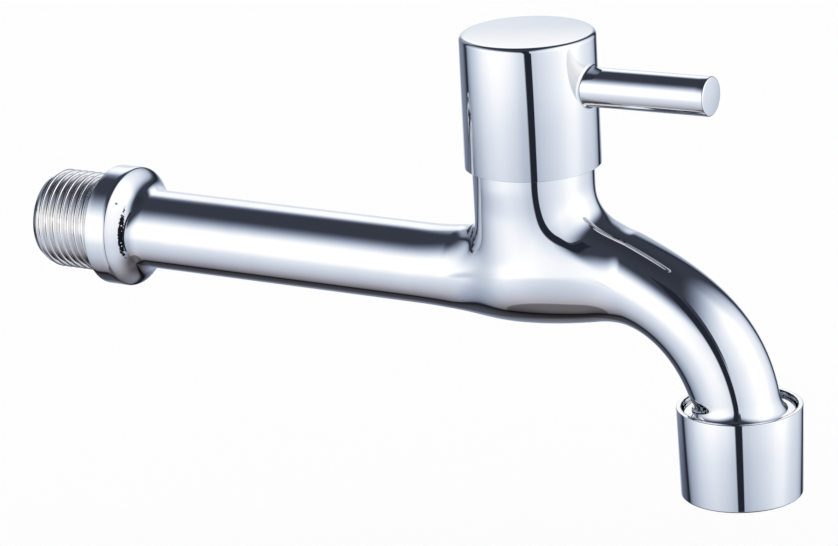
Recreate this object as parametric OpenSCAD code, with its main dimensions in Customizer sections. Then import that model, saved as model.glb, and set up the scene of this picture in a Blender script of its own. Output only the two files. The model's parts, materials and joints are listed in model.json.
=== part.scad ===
// Long-reach bib tap: one cast body with a threaded inlet, a quarter-turn ceramic disc
// headwork under a lever cap, and an aerator held by a threaded collar at the outlet.
// Origin: centre of the flange's back face, on the inlet axis. +X runs to the outlet, +Z is up.

/* [Inlet] */
// Outside diameter of the inlet thread
inlet_thread_d = 20.955; // [19.5:0.005:23]
// Pitch of the inlet thread
inlet_thread_pitch = 1.814; // [1.2:0.001:2.3]
// Length of the inlet thread behind the flange
inlet_thread_l = 15.7; // [12:0.1:22]
// Length of the chamfer at the thread's end
inlet_chamfer_l = 2.4; // [1:0.1:3.5]
// Diameter of the waterway in the inlet and tube
inlet_bore_d = 12; // [9:0.1:12.8]

/* [Flange] */
// Diameter of the flange
flange_d = 25.4; // [24:0.1:32]
// Width of the flange's rim
flange_rim_w = 5.0; // [2.5:0.1:6]
// Length of the shoulder from the rim to the tube
flange_shoulder_l = 5.8; // [4:0.1:9]

/* [Tube] */
// Outside diameter of the tube
tube_d = 16.6; // [16:0.1:19]
// Distance from the flange's back face to the lever's axis
stem_x = 102.8; // [90:0.1:130]
// Length of the swelling from the tube to the lever's axis
swell_l = 26.8; // [24:0.1:30]

/* [Valve boss] */
// Outside diameter of the boss
boss_d = 24.5; // [24.4:0.1:25]
// Height of the boss's top above the inlet axis
boss_top_z = 25.4; // [24.8:0.1:27]
// Depth of the belly below the inlet axis
belly_depth = 9.2; // [8.8:0.1:11]
// Width that the belly has beyond the boss on each side
belly_proud = 0.15; // [0.1:0.05:0.8]
// Fillet between the boss and the tube
fillet_back = 3.5; // [2:0.1:4]
// Fillet between the boss and the spout
fillet_front = 4.3; // [2:0.1:4.5]

/* [Spout] */
// Distance from the lever's axis to the outlet's axis
spout_reach = 44.3; // [41:0.1:49]
// Outside diameter of the spout's lower end
spout_end_d = 17.1; // [16.4:0.1:18]
// Height of the spout's top where it leaves the boss
spout_root_z = 15.3; // [14.5:0.1:16.5]
// Fall of the spout's top line where it leaves the boss, in degrees
spout_root_fall = 20; // [15:0.5:25]
// Depth of the hollow under the spout's root below the inlet axis
spout_saddle_depth = 7.3; // [6.6:0.1:8.4]
// Diameter of the waterway in the spout
spout_bore_d = 10.4; // [8:0.1:11]
// Depth of the outlet's shoulder below the inlet axis
outlet_ledge_depth = 25; // [24.5:0.1:28]
// Outside diameter of the outlet thread
outlet_thread_d = 22; // [21.6:0.05:22.4]
// Pitch of the outlet thread
outlet_thread_pitch = 1; // [0.75:0.05:1.5]
// Length of the outlet thread
outlet_thread_l = 8; // [7:0.1:10]

/* [Lever cap] */
// Diameter of the cap at its lower edge
cap_d = 27.5; // [27.2:0.1:30]
// Draft of the cap, taken off its diameter at the top
cap_draft = 0.2; // [0:0.05:0.8]
// Height of the cap
cap_h = 27.2; // [26:0.1:32]
// Length by which the cap's skirt covers the boss
cap_cover = 1.55; // [0.8:0.05:3]
// Thickness of the cap's top
cap_top_t = 5; // [3:0.1:5.5]
// Rounding of the cap's top edge
cap_edge_r = 1; // [0.4:0.1:2]
// Diameter of the lever
lever_d = 7.9; // [6:0.1:8.4]
// Length from the cap's axis to the lever's end
lever_l = 40; // [30:0.5:60]
// Height of the lever's axis above the cap's lower edge
lever_rise = 17; // [16.6:0.1:17.8]
// Diameter of the cap's clamping screw
cap_screw_d = 4; // [3:0.1:4.4]

/* [Headwork] */
// Outside diameter of the headwork's thread
headwork_thread_d = 20.8; // [20:0.05:20.85]
// Pitch of the headwork's thread
headwork_thread_pitch = 1.4; // [1:0.1:1.8]
// Height of the seat's face above the inlet axis
seat_z = 4; // [3.8:0.1:4.4]
// Diameter of the hole in the seat
seat_hole_d = 10; // [8:0.1:10.4]
// Diameter of the chamber round the headwork
chamber_d = 19.4; // [18.4:0.1:20]
// Outside diameter of the headwork's sleeve
sleeve_d = 17.2; // [17:0.1:17.8]
// Wall of the headwork's sleeve
sleeve_wall = 0.65; // [0.5:0.05:0.9]
// Width across the flats of the headwork's hexagon
hex_af = 21; // [20.8:0.1:21.4]
// Height of the hexagon
hex_h = 4; // [3:0.1:4.6]
// Height of the neck above the hexagon
neck_h = 3; // [2:0.1:3.4]
// Diameter of the spindle
spindle_d = 9; // [8.6:0.1:9.8]
// Diameter over the spindle's splines
spline_d = 8; // [7:0.1:8.2]
// Number of splines
spline_count = 20; // [12:1:24]
// Thickness of each ceramic disc
disc_t = 2.6; // [2:0.1:2.8]
// Height of the lower seal
seal_h = 2.6; // [2.2:0.1:3]
// Angle that the lever turns from shut to open
quarter_turn = 90; // [80:1:100]

/* [Aerator] */
// Outside diameter of the collar at its rim
collar_d = 25.1; // [24.9:0.1:27]
// Taper of the collar, taken off its diameter at the bottom
collar_taper = 0.9; // [0:0.05:1.2]
// Height of the collar
collar_h = 18.4; // [18.1:0.1:20]
// Height of the collar's rim above the outlet's shoulder
collar_rim_rise = 3.8; // [3:0.1:4.5]
// Inside diameter of the collar's lower opening
collar_mouth_d = 19.2; // [18.6:0.1:19.8]
// Thickness of the rubber washer
washer_t = 1.15; // [0.8:0.05:1.5]
// Thickness of the cage's flange
cage_flange_t = 0.95; // [0.7:0.05:1.2]
// Wall of the cage
cage_wall = 0.7; // [0.5:0.05:1]

/* [Fits] */
// Radial clearance of threads and of turning fits
running_gap = 0.05; // [0.02:0.01:0.08]
// Gap between flat faces that rest on each other
face_gap = 0.02; // [0.01:0.01:0.04]
// Radial clearance between the cap's skirt and the boss
skirt_gap = 0.35; // [0.3:0.05:0.45]

/* [Hidden] */
$fn = 96;
overlap = 0.5;

chrome = "#cdd2da";
brass = "#c2a25a";
rubber = "#26262a";
steel = "#a9adb3";
ceramic = "#f1efe9";
plastic = "#e4e6e8";

// Casting outline: two rails in the plane of symmetry, one above and one below
inlet_r = inlet_thread_d / 2;
flange_r = flange_d / 2;
tube_r = tube_d / 2;
boss_r = boss_d / 2;
spout_end_r = spout_end_d / 2;
ledge_z = -outlet_ledge_depth;
skin_sides = 40;
skin_grow = 1 / cos(180 / skin_sides);
skin_step = 0.02;
boss_steps = 34;
spout_steps = 26;
spout_root_x = stem_x + boss_r;
saddle_past_boss = 2.45;
saddle_x = stem_x + boss_r + saddle_past_boss;
saddle_rise = 10.7;
tube_end_x = stem_x - swell_l;
skin_lap = 4;
skin_end_in = 2;
skin_end_z = ledge_z - skin_end_in;
top_lead = 22;
top_pull = 9;
spout_top_lead = 24.2;
spout_top_pull = 26;
belly_lead = 12.8;
spout_low_lead = 15.4;
spout_low_pull = 6.3;
swell_back = 15;
swell_front = 22;
boss_foot_z = 2.8;

// The belly's handle makes the low rail pass through the belly's depth at this share of its length
belly_at = 0.59;
belly_handle_z =
    (pow(1 - belly_at, 3) * tube_r + 3 * belly_at * pow(1 - belly_at, 2) * tube_r
    + pow(belly_at, 3) * spout_saddle_depth - belly_depth) / (3 * belly_at * belly_at * (1 - belly_at));
belly_pull = (-spout_saddle_depth - belly_handle_z) / sin(saddle_rise);

// Waterway of the spout: a straight run that falls from the chamber, then a bend
water_r = spout_bore_d / 2;
outlet_x = stem_x + spout_reach;
water_fall = 26;
water_start_z = 13.7;
water_bend_r = 30;
water_bend_x = outlet_x - water_bend_r;
water_tangent_x = water_bend_x + water_bend_r * sin(water_fall);
water_tangent_z = water_start_z - (water_tangent_x - stem_x) * tan(water_fall);
water_bend_z = water_tangent_z - water_bend_r * cos(water_fall);

// Outlet end
outlet_r = outlet_thread_d / 2;
outlet_end_z = ledge_z - outlet_thread_l;
outlet_shoulder_step = 0.1;
outlet_shoulder_h = 2.9;
flare_h = 3.3;
flare_in = 0.3;
flare_out = 0.95;
flare_lean = 45;
flare_pull = 1.2;

// Valve chamber and the port below the seat
chamber_r = chamber_d / 2;
seat_hole_r = seat_hole_d / 2;
chamber_web = 1.6;
chamber_relief = 1;
port_r = 3.9;
port_z = -2.6;
port_lap = 4;
pocket_floor_z = port_z - port_r;

// Headwork heights
headwork_r = headwork_thread_d / 2;
o_ring_land_step = 0.38;
o_ring_land_r = headwork_r + o_ring_land_step;
o_ring_land_h = 2.5;
body_ring_r = 0.85;
body_ring_groove_w = 1.85;
body_ring_groove_z = 0.25;
headwork_thread_l = 6;
thread_top_z = boss_top_z - o_ring_land_h;
thread_low_z = thread_top_z - headwork_thread_l;
sleeve_r = sleeve_d / 2;
sleeve_bore_r = sleeve_r - sleeve_wall;
sleeve_foot_gap = 0.6;
sleeve_low_z = seat_z + sleeve_foot_gap;
seal_top_z = seat_z + seal_h;
backing_r = seat_hole_r + 1.4;
backing_wall = 1.2;
fixed_disc_top_z = seal_top_z + disc_t;
moving_disc_low_z = fixed_disc_top_z + face_gap;
moving_disc_top_z = moving_disc_low_z + disc_t;
disc_side_gap = 0.35;
disc_r = sleeve_bore_r - disc_side_gap;
disc_hub_r = 1.8;
disc_seal_angle = 14;
disc_hole_angle = quarter_turn - disc_seal_angle;
tongue_w = 3;
tongue_l = 10;
tongue_h = 1;
tongue_gap = 0.1;
drive_low_z = moving_disc_top_z + face_gap;
drive_t = 2.4;
drive_top_z = drive_low_z + drive_t;
thrust_t = 0.6;
cavity_top_z = drive_top_z + thrust_t + 2 * face_gap;
hex_top_z = boss_top_z + face_gap + hex_h;
neck_top_z = hex_top_z + neck_h;
neck_r = 6.8;
spindle_r = spindle_d / 2;
spindle_bore_r = spindle_r + running_gap;
spindle_ring_r = 0.6;
spindle_groove_r = spindle_r - 2 * spindle_ring_r + running_gap;
spindle_groove_w = 2 * spindle_ring_r + 0.2;
ring_spacing = 4.5;
ring_lower_z = cavity_top_z + ring_spacing;
ring_upper_z = ring_lower_z + ring_spacing;
clip_gap = 0.1;
clip_low_z = neck_top_z + clip_gap;
clip_t = 0.8;
clip_groove_depth = 0.5;
clip_groove_r = spline_d / 2 - clip_groove_depth;
clip_side_gap = 0.3;
clip_mouth_angle = 70;
stop_low_z = clip_low_z + clip_t + clip_gap;
stop_t = 1;
stop_top_z = stop_low_z + stop_t;
stop_wall = 0.9;
stop_side_gap = 0.5;
stop_tab_w = 2.2;
stop_tab_back = 0.1;
stop_slack = 1;
stop_angle = 45;
clip_r = neck_r - stop_wall - clip_side_gap;
spline_depth = 0.4;
spline_grip = 6.6;
spline_top_z = stop_top_z + spline_grip;

// Lever cap
cap_low_z = boss_top_z - cap_cover;
cap_top_z = cap_low_z + cap_h;
cap_r = cap_d / 2;
cap_cavity_r = boss_r + skirt_gap;
cap_ceiling_z = cap_top_z - cap_top_t;
hub_r = 7;
hub_above_stop = 0.5;
hub_low_z = stop_top_z + hub_above_stop;
lever_z = cap_low_z + lever_rise;
lever_r = lever_d / 2;
lever_edge = 0.35;
screw_r = cap_screw_d / 2;
screw_rib_r = screw_r + 1.2;
screw_z = hub_low_z + screw_rib_r;
screw_l = 8;
screw_start = spline_d / 2 + running_gap;
screw_edge = 0.3;
screw_point = 0.6;
screw_socket_depth = 2.2;
screw_access_r = screw_r + skirt_gap;

// Aerator heights
collar_top_z = ledge_z + collar_rim_rise;
collar_low_z = collar_top_z - collar_h;
collar_bore_r = outlet_r + running_gap;
collar_recess_step = 0.45;
collar_recess_r = outlet_r + collar_recess_step;
collar_recess_low_z = ledge_z - collar_recess_step;
collar_edge = 0.4;
washer_top_z = outlet_end_z - 2 * face_gap;
washer_low_z = washer_top_z - washer_t;
cage_flange_low_z = washer_low_z - cage_flange_t - face_gap;
cage_inset = 0.45;
cage_side_gap = 0.2;
cage_low_z = collar_low_z + cage_inset;
cage_r = collar_mouth_d / 2 - cage_side_gap;
cage_bore_r = cage_r - cage_wall;
cage_lip_h = 0.5;
cage_lip_w = 0.7;
cage_flange_r = outlet_r - cage_side_gap;
insert_r = cage_bore_r - running_gap;
washer_r = cage_flange_r;
washer_lap = 0.5;
grid_t = 1.5;
grid_cell = 2.1;
grid_wall = 0.4;
mesh_t = 0.3;
mesh_pitch = 1.5;
mesh_wire = 0.5;
diffuser_t = 1.1;
diffuser_wall = 0.8;
diffuser_hole_r = 0.55;
diffuser_holes_outer = 16;
diffuser_holes_inner = 8;
screen_t = 0.35;
screen_pitch = 1.9;
screen_wire = 0.6;
grid_low_z = cage_low_z + cage_lip_h + face_gap;
mesh_low_z = grid_low_z + grid_t + face_gap;
diffuser_low_z = mesh_low_z + mesh_t + face_gap;
screen_low_z = washer_low_z - screen_t - 2 * face_gap;
diffuser_rim_h = screen_low_z - diffuser_low_z - face_gap;

// Point at t on a cubic curve with two handles
function curve_point(t, p0, p1, p2, p3) =
    pow(1 - t, 3) * p0 + 3 * t * pow(1 - t, 2) * p1 + 3 * t * t * (1 - t) * p2 + t * t * t * p3;

// Rails of the casting: s runs from 0 at the tube to 1 at the boss's front and 2 at the outlet
function top_rail(s) =
    s <= 1
        ? curve_point(
            s,
            [tube_end_x, tube_r],
            [tube_end_x + top_lead, tube_r],
            [spout_root_x - top_pull * cos(spout_root_fall), spout_root_z + top_pull * sin(spout_root_fall)],
            [spout_root_x, spout_root_z]
        )
        : curve_point(
            s - 1,
            [spout_root_x, spout_root_z],
            [
                spout_root_x + spout_top_lead * cos(spout_root_fall),
                spout_root_z - spout_top_lead * sin(spout_root_fall)
            ],
            [outlet_x + spout_end_r, skin_end_z + spout_top_pull],
            [outlet_x + spout_end_r, skin_end_z]
        );

function low_rail(s) =
    s <= 1
        ? curve_point(
            s,
            [tube_end_x, -tube_r],
            [tube_end_x + belly_lead, -tube_r],
            [saddle_x - belly_pull * cos(saddle_rise), -spout_saddle_depth - belly_pull * sin(saddle_rise)],
            [saddle_x, -spout_saddle_depth]
        )
        : curve_point(
            s - 1,
            [saddle_x, -spout_saddle_depth],
            [
                saddle_x + spout_low_lead * cos(saddle_rise),
                -spout_saddle_depth + spout_low_lead * sin(saddle_rise)
            ],
            [outlet_x - spout_end_r, skin_end_z + spout_low_pull],
            [outlet_x - spout_end_r, skin_end_z]
        );

// Half width of the casting at a section's centre
function plain_half_width(s) = s <= 1 ? tube_r : tube_r + (spout_end_r - tube_r) * (s - 1);
function swell(dx) = 0.5 * (1 + cos(180 * min(1, dx < 0 ? -dx / swell_back : dx / swell_front)));
function half_width(s, x) =
    plain_half_width(s) + (boss_r + belly_proud - plain_half_width(s)) * swell(x - stem_x);

// Height that the fillet round the boss adds at a point of the upper side
function fillet_width(turn) = fillet_back + (fillet_front - fillet_back) * pow((turn + 1) / 2, 2);
function fillet_lift(dx, dy) =
    let (
        rho = max(norm([dx, dy]), 0.001),
        w = fillet_width(dx / rho),
        u = max(0, min(1, (rho - boss_r) / w))
    )
    w * (1 - sqrt(2 * u - u * u));

function skin_point(s, angle) =
    let (
        top = top_rail(s),
        low = low_rail(s),
        centre = (top + low) / 2,
        rise = (top - low) / 2,
        a = half_width(s, centre[0]) * skin_grow + skin_step,
        up = centre + rise * skin_grow * (1 + skin_step / norm(rise)) * sin(angle),
        y = a * cos(angle),
        lift = fillet_lift(up[0] - stem_x, y) * max(0, min(1, 3 * sin(angle)))
    )
    [up[0], y, up[1] + lift];

// Closed surface through rings of points
module tube_of_rings(rings) {
    sides = len(rings[0]);
    last = len(rings) - 1;
    points = [for (ring = rings) for (p = ring) p];
    walls = [
        for (i = [0:last - 1])
            for (k = [0:sides - 1])
                let (a = i * sides + k, b = i * sides + (k + 1) % sides)
                for (half = [0, 1])
                    half == 0 ? [b, a, b + sides] : [a, a + sides, b + sides]
    ];
    start = [[for (k = [0:sides - 1]) k]];
    end = [[for (k = [sides - 1:-1:0]) last * sides + k]];
    polyhedron(points = points, faces = concat(start, walls, end));
}

module casting_skin() {
    rings = [
        for (i = [0:boss_steps + spout_steps])
            let (s = i <= boss_steps ? i / boss_steps : 1 + (i - boss_steps) / spout_steps)
            [for (k = [0:skin_sides - 1]) skin_point(s, (k + 0.5) * 360 / skin_sides)]
    ];
    tube_of_rings(rings);
}

function thread_depth(pitch) = 0.64 * pitch;

// Threaded shaft from z = 0 up, its thread drawn as one groove a pitch
module threaded_shaft(r, l, pitch) {
    depth = thread_depth(pitch);
    crest = pitch / 6;
    grooves = floor((l - crest) / pitch);
    steps = [
        for (i = [0:grooves - 1])
            for (p = [
                [r, i * pitch + crest],
                [r - depth, (i + 0.5) * pitch + crest / 4],
                [r - depth, (i + 0.5) * pitch + crest * 3 / 4],
                [r, (i + 1) * pitch]
            ])
                p
    ];
    rotate_extrude() polygon(concat([[0, 0], [r, 0]], steps, [[r, l], [0, l]]));
}

module ring(r_out, r_in, h) {
    difference() {
        cylinder(r = r_out, h = h);
        translate([0, 0, -overlap]) cylinder(r = r_in, h = h + 2 * overlap);
    }
}

module o_ring(r_mid, r_section) {
    rotate_extrude() translate([r_mid, 0]) circle(r = r_section);
}

module sector(r, angle) {
    steps = 12;
    arc = [
        for (i = [0:steps])
            let (a = angle * (i / steps - 0.5))
            r * [cos(a), sin(a)]
    ];
    polygon(concat([[0, 0]], arc));
}

// Star outline of the splined head
module spline_outline(r_tip) {
    pitch_angle = 360 / spline_count;
    polygon([
        for (i = [0:spline_count - 1])
            for (p = [[-0.32, -spline_depth], [-0.14, 0], [0.14, 0], [0.32, -spline_depth]])
                (r_tip + p[1]) * [cos((i + p[0]) * pitch_angle), sin((i + p[0]) * pitch_angle)]
    ]);
}

module at_stem(z) {
    translate([stem_x, 0, z]) children();
}

module at_outlet(z) {
    translate([outlet_x, 0, z]) children();
}

// Flange and tube as one turned form along +X: the shoulder slopes off the rim and hollows into the tube
module flange_and_tube() {
    rim_fall = 45;
    rim_pull = 0.35 * flange_shoulder_l;
    tube_pull = 0.58 * flange_shoulder_l;
    steps = 12;
    rim_end = [flange_r, flange_rim_w];
    foot = [tube_r, flange_rim_w + flange_shoulder_l];
    profile = concat(
        [[0, 0], [flange_r, 0]],
        [
            for (i = [0:steps])
                curve_point(
                    i / steps,
                    rim_end,
                    rim_end + rim_pull * [-sin(rim_fall), cos(rim_fall)],
                    foot - [0, tube_pull],
                    foot
                )
        ],
        [[tube_r, tube_end_x + skin_lap], [0, tube_end_x + skin_lap]]
    );
    rotate([0, 90, 0]) rotate_extrude() polygon(profile);
}

module inlet_spigot() {
    tip_r = inlet_r - thread_depth(inlet_thread_pitch) - 0.15;
    translate([-inlet_thread_l, 0, 0]) rotate([0, 90, 0]) difference() {
        union() {
            threaded_shaft(inlet_r, inlet_thread_l, inlet_thread_pitch);
            cylinder(r = tip_r, h = inlet_thread_l + overlap);
        }
        rotate_extrude() polygon([
            [tip_r, -overlap],
            [inlet_r + overlap, -overlap],
            [inlet_r + overlap, inlet_chamfer_l],
            [inlet_r, inlet_chamfer_l],
            [tip_r, 0]
        ]);
    }
}

// Threaded end of the spout: its foot hollows out into a short cone that stands on the shoulder's flat top
module outlet_spigot() {
    steps = 8;
    shoulder_r = outlet_r + outlet_shoulder_step;
    foot = [spout_end_r + flare_out, ledge_z + outlet_shoulder_h];
    waist = [spout_end_r - flare_in, foot[1] + flare_h];
    at_outlet(outlet_end_z) threaded_shaft(outlet_r, outlet_thread_l, outlet_thread_pitch);
    at_outlet(0) rotate_extrude() polygon(concat(
        [
            [0, ledge_z - overlap],
            [spout_end_r, ledge_z - overlap],
            [spout_end_r, ledge_z],
            [shoulder_r, ledge_z],
            [shoulder_r, foot[1]]
        ],
        [
            for (i = [0:steps])
                curve_point(
                    i / steps,
                    foot,
                    foot + flare_pull * [-sin(flare_lean), cos(flare_lean)],
                    waist - [0, flare_pull],
                    waist
                )
        ],
        [[0, waist[1]]]
    ));
}

module inlet_waterway() {
    bore_r = inlet_bore_d / 2;
    bore_end = stem_x - chamber_r - chamber_web;
    translate([-inlet_thread_l - overlap, 0, 0])
        rotate([0, 90, 0]) cylinder(r = bore_r, h = bore_end + inlet_thread_l + overlap);
    translate([bore_end - port_lap, 0, port_z])
        rotate([0, 90, 0]) cylinder(r = port_r, h = stem_x - bore_end + port_lap);
    at_stem(pocket_floor_z) cylinder(r = seat_hole_r, h = seat_z - pocket_floor_z + overlap);
}

// The bend is a hair narrower than the straight runs and laps into both
module spout_waterway() {
    run = (water_tangent_x - stem_x) / cos(water_fall);
    lap = 2;
    at_stem(water_start_z) rotate([0, 90 + water_fall, 0]) cylinder(r = water_r, h = run);
    translate([water_bend_x, 0, water_bend_z]) rotate([90, 0, 0])
        rotate_extrude(angle = 90 - water_fall + 2 * lap, start = -lap)
            translate([water_bend_r, 0]) circle(r = water_r - running_gap);
    at_outlet(outlet_end_z - overlap) cylinder(r = water_r, h = water_bend_z - outlet_end_z + overlap);
}

module valve_chamber() {
    at_stem(seat_z) cylinder(r = chamber_r, h = boss_top_z - seat_z);
    at_stem(thread_low_z - chamber_relief)
        cylinder(r = headwork_r + running_gap, h = headwork_thread_l + chamber_relief);
    at_stem(thread_top_z - chamber_relief)
        cylinder(r = o_ring_land_r + running_gap, h = o_ring_land_h + chamber_relief + overlap);
}

module body() {
    color(chrome) difference() {
        union() {
            inlet_spigot();
            flange_and_tube();
            casting_skin();
            at_stem(boss_foot_z) cylinder(r = boss_r, h = boss_top_z - boss_foot_z);
            outlet_spigot();
        }
        inlet_waterway();
        valve_chamber();
        spout_waterway();
    }
}

module cap_shell() {
    top_r = cap_r - cap_draft / 2;
    edge_steps = 6;
    rotate_extrude() polygon(concat(
        [[0, 0], [cap_r, 0]],
        [
            for (i = [0:edge_steps])
                let (a = 90 * i / edge_steps)
                [top_r - cap_edge_r + cap_edge_r * cos(a), cap_h - cap_edge_r + cap_edge_r * sin(a)]
        ],
        [[0, cap_h]]
    ));
}

module lever_rod() {
    start = hub_r - overlap;
    translate([start, 0, lever_z - cap_low_z]) rotate([0, 90, 0]) rotate_extrude() polygon([
        [0, 0],
        [lever_r, 0],
        [lever_r, lever_l - start - lever_edge],
        [lever_r - lever_edge, lever_l - start],
        [0, lever_l - start]
    ]);
}

module handle() {
    hub_h = cap_ceiling_z - hub_low_z + overlap;
    color(chrome) at_stem(cap_low_z) difference() {
        union() {
            difference() {
                cap_shell();
                translate([0, 0, -overlap])
                    cylinder(r = cap_cavity_r, h = cap_ceiling_z - cap_low_z + overlap);
            }
            lever_rod();
            translate([0, 0, hub_low_z - cap_low_z]) cylinder(r = hub_r, h = hub_h);
            translate([0, 0, screw_z - cap_low_z])
                rotate([0, -90, 0]) cylinder(r = screw_rib_r, h = cap_cavity_r + overlap);
        }
        translate([0, 0, hub_low_z - cap_low_z - overlap])
            linear_extrude(spline_top_z - hub_low_z + 2 * overlap)
                spline_outline(spline_d / 2 + running_gap);
        translate([0, 0, screw_z - cap_low_z])
            rotate([0, -90, 0]) cylinder(r = screw_r + running_gap, h = cap_r);
        translate([-screw_start - screw_l, 0, screw_z - cap_low_z])
            rotate([0, -90, 0]) cylinder(r = screw_access_r, h = cap_r);
    }
}

module handle_screw() {
    socket_af = cap_screw_d / 2;
    color(steel) at_stem(screw_z) rotate([0, -90, 0]) translate([0, 0, screw_start]) difference() {
        rotate_extrude() polygon([
            [0, 0],
            [screw_r - screw_point, 0],
            [screw_r, screw_point],
            [screw_r, screw_l - screw_edge],
            [screw_r - screw_edge, screw_l],
            [0, screw_l]
        ]);
        translate([0, 0, screw_l - screw_socket_depth])
            cylinder(d = socket_af / cos(30), h = screw_socket_depth + overlap, $fn = 6);
    }
}

module housing_turned_form() {
    corner_r = hex_af / cos(30) / 2 + 0.1;
    corner_cut = 0.9;
    top_land_r = hex_af / 2 + 0.2;
    at_stem(sleeve_low_z) cylinder(r = sleeve_r, h = thread_low_z - sleeve_low_z + overlap);
    at_stem(thread_low_z) threaded_shaft(headwork_r, headwork_thread_l, headwork_thread_pitch);
    at_stem(thread_top_z - overlap) cylinder(r = o_ring_land_r, h = o_ring_land_h + overlap + 2 * face_gap);
    at_stem(boss_top_z + face_gap) intersection() {
        cylinder(d = hex_af / cos(30), h = hex_h, $fn = 6);
        rotate_extrude() polygon([
            [0, 0],
            [top_land_r, 0],
            [corner_r, corner_cut],
            [corner_r, hex_h - corner_cut],
            [top_land_r, hex_h],
            [0, hex_h]
        ]);
    }
    at_stem(hex_top_z - overlap) cylinder(r = neck_r, h = neck_h + overlap);
}

// Wall on the neck that stops the ring's tab at both ends of the turn
module stop_wall_ring() {
    tab_angle = 2 * asin(stop_tab_w / 2 / (neck_r - stop_wall));
    opening = quarter_turn + tab_angle + 2 * stop_slack;
    at_stem(neck_top_z - overlap) linear_extrude(stop_top_z - neck_top_z + overlap) difference() {
        circle(r = neck_r);
        circle(r = neck_r - stop_wall);
        rotate(stop_angle + quarter_turn / 2) sector(neck_r * 2, opening);
    }
}

module headwork_housing() {
    window_w = 9;
    window_below = 0.6;
    window_low_z = moving_disc_low_z - window_below;
    groove_r = o_ring_land_r - 2 * body_ring_r - running_gap;
    color(brass) difference() {
        union() {
            housing_turned_form();
            stop_wall_ring();
        }
        at_stem(sleeve_low_z - overlap)
            cylinder(r = sleeve_bore_r, h = cavity_top_z - sleeve_low_z + overlap);
        at_stem(sleeve_low_z) cylinder(r = spindle_bore_r, h = neck_top_z - sleeve_low_z + overlap);
        at_stem(thread_top_z + body_ring_groove_z)
            ring(o_ring_land_r + overlap, groove_r, body_ring_groove_w);
        translate([stem_x - sleeve_r - overlap, -window_w / 2, window_low_z])
            cube([2 * (sleeve_r + overlap), window_w, cavity_top_z - window_low_z]);
    }
}

module headwork_o_ring() {
    color(rubber) at_stem(thread_top_z + body_ring_groove_z + body_ring_groove_w / 2)
        o_ring(o_ring_land_r - body_ring_r, body_ring_r);
}

module spindle() {
    half_w = spindle_groove_w / 2;
    color(brass) union() {
        at_stem(0) rotate_extrude() polygon([
            [0, drive_low_z],
            [disc_r, drive_low_z],
            [disc_r, drive_top_z],
            [spindle_r, drive_top_z],
            [spindle_r, ring_lower_z - half_w],
            [spindle_groove_r, ring_lower_z - half_w],
            [spindle_groove_r, ring_lower_z + half_w],
            [spindle_r, ring_lower_z + half_w],
            [spindle_r, ring_upper_z - half_w],
            [spindle_groove_r, ring_upper_z - half_w],
            [spindle_groove_r, ring_upper_z + half_w],
            [spindle_r, ring_upper_z + half_w],
            [spindle_r, neck_top_z],
            [clip_groove_r, neck_top_z],
            [clip_groove_r, stop_low_z],
            [0, stop_low_z]
        ]);
        translate([stem_x - tongue_l / 2, -tongue_w / 2, drive_low_z - tongue_h])
            cube([tongue_l, tongue_w, tongue_h + overlap]);
        at_stem(stop_low_z - clip_gap)
            linear_extrude(spline_top_z - stop_low_z + clip_gap) spline_outline(spline_d / 2);
    }
}

module spindle_o_ring(z) {
    section_r = spindle_ring_r - running_gap / 2;
    color(rubber) at_stem(z) o_ring(spindle_groove_r + section_r + running_gap / 4, section_r);
}

module spindle_o_ring_upper() {
    spindle_o_ring(ring_upper_z);
}

module spindle_o_ring_lower() {
    spindle_o_ring(ring_lower_z);
}

module thrust_washer() {
    color(plastic) at_stem(drive_top_z + face_gap) ring(disc_r, spindle_r + running_gap, thrust_t);
}

module retaining_clip() {
    color(steel) at_stem(clip_low_z) linear_extrude(clip_t) difference() {
        circle(r = clip_r);
        circle(r = clip_groove_r + running_gap);
        rotate(180 + stop_angle) sector(clip_r * 2, clip_mouth_angle);
    }
}

module stop_ring() {
    ring_r = neck_r - stop_wall - stop_side_gap;
    color(steel) at_stem(stop_low_z) linear_extrude(stop_t) difference() {
        union() {
            circle(r = ring_r);
            rotate(stop_angle) translate([0, -stop_tab_w / 2]) square([neck_r - stop_tab_back, stop_tab_w]);
        }
        spline_outline(spline_d / 2 + running_gap);
    }
}

module moving_disc() {
    cut_angle = 180 - disc_hole_angle - disc_seal_angle;
    cut_past_hub = 0.6;
    color(ceramic) at_stem(moving_disc_low_z) difference() {
        cylinder(r = disc_r, h = disc_t);
        for (side = [0, 180])
            rotate(side) translate([disc_hub_r + cut_past_hub, 0, -overlap])
                linear_extrude(disc_t + 2 * overlap) sector(disc_r * 2, cut_angle);
        translate([-tongue_l / 2 - tongue_gap, -tongue_w / 2 - tongue_gap, disc_t - tongue_h])
            cube([tongue_l + 2 * tongue_gap, tongue_w + 2 * tongue_gap, tongue_h + overlap]);
    }
}

module fixed_disc() {
    color(ceramic) at_stem(seal_top_z) difference() {
        cylinder(r = sleeve_bore_r - running_gap, h = disc_t);
        for (side = [90, 270])
            rotate(side) translate([0, 0, -overlap]) linear_extrude(disc_t + 2 * overlap) difference() {
                sector(seat_hole_r, disc_hole_angle);
                circle(r = disc_hub_r);
            }
    }
}

module seat_seal() {
    color(rubber) at_stem(seat_z + face_gap)
        ring(sleeve_bore_r - running_gap, backing_r + running_gap, seal_h - 2 * face_gap);
}

module seal_backing_ring() {
    color(plastic) at_stem(sleeve_low_z)
        ring(backing_r, backing_r - backing_wall, seal_top_z - sleeve_low_z - face_gap);
}

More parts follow.
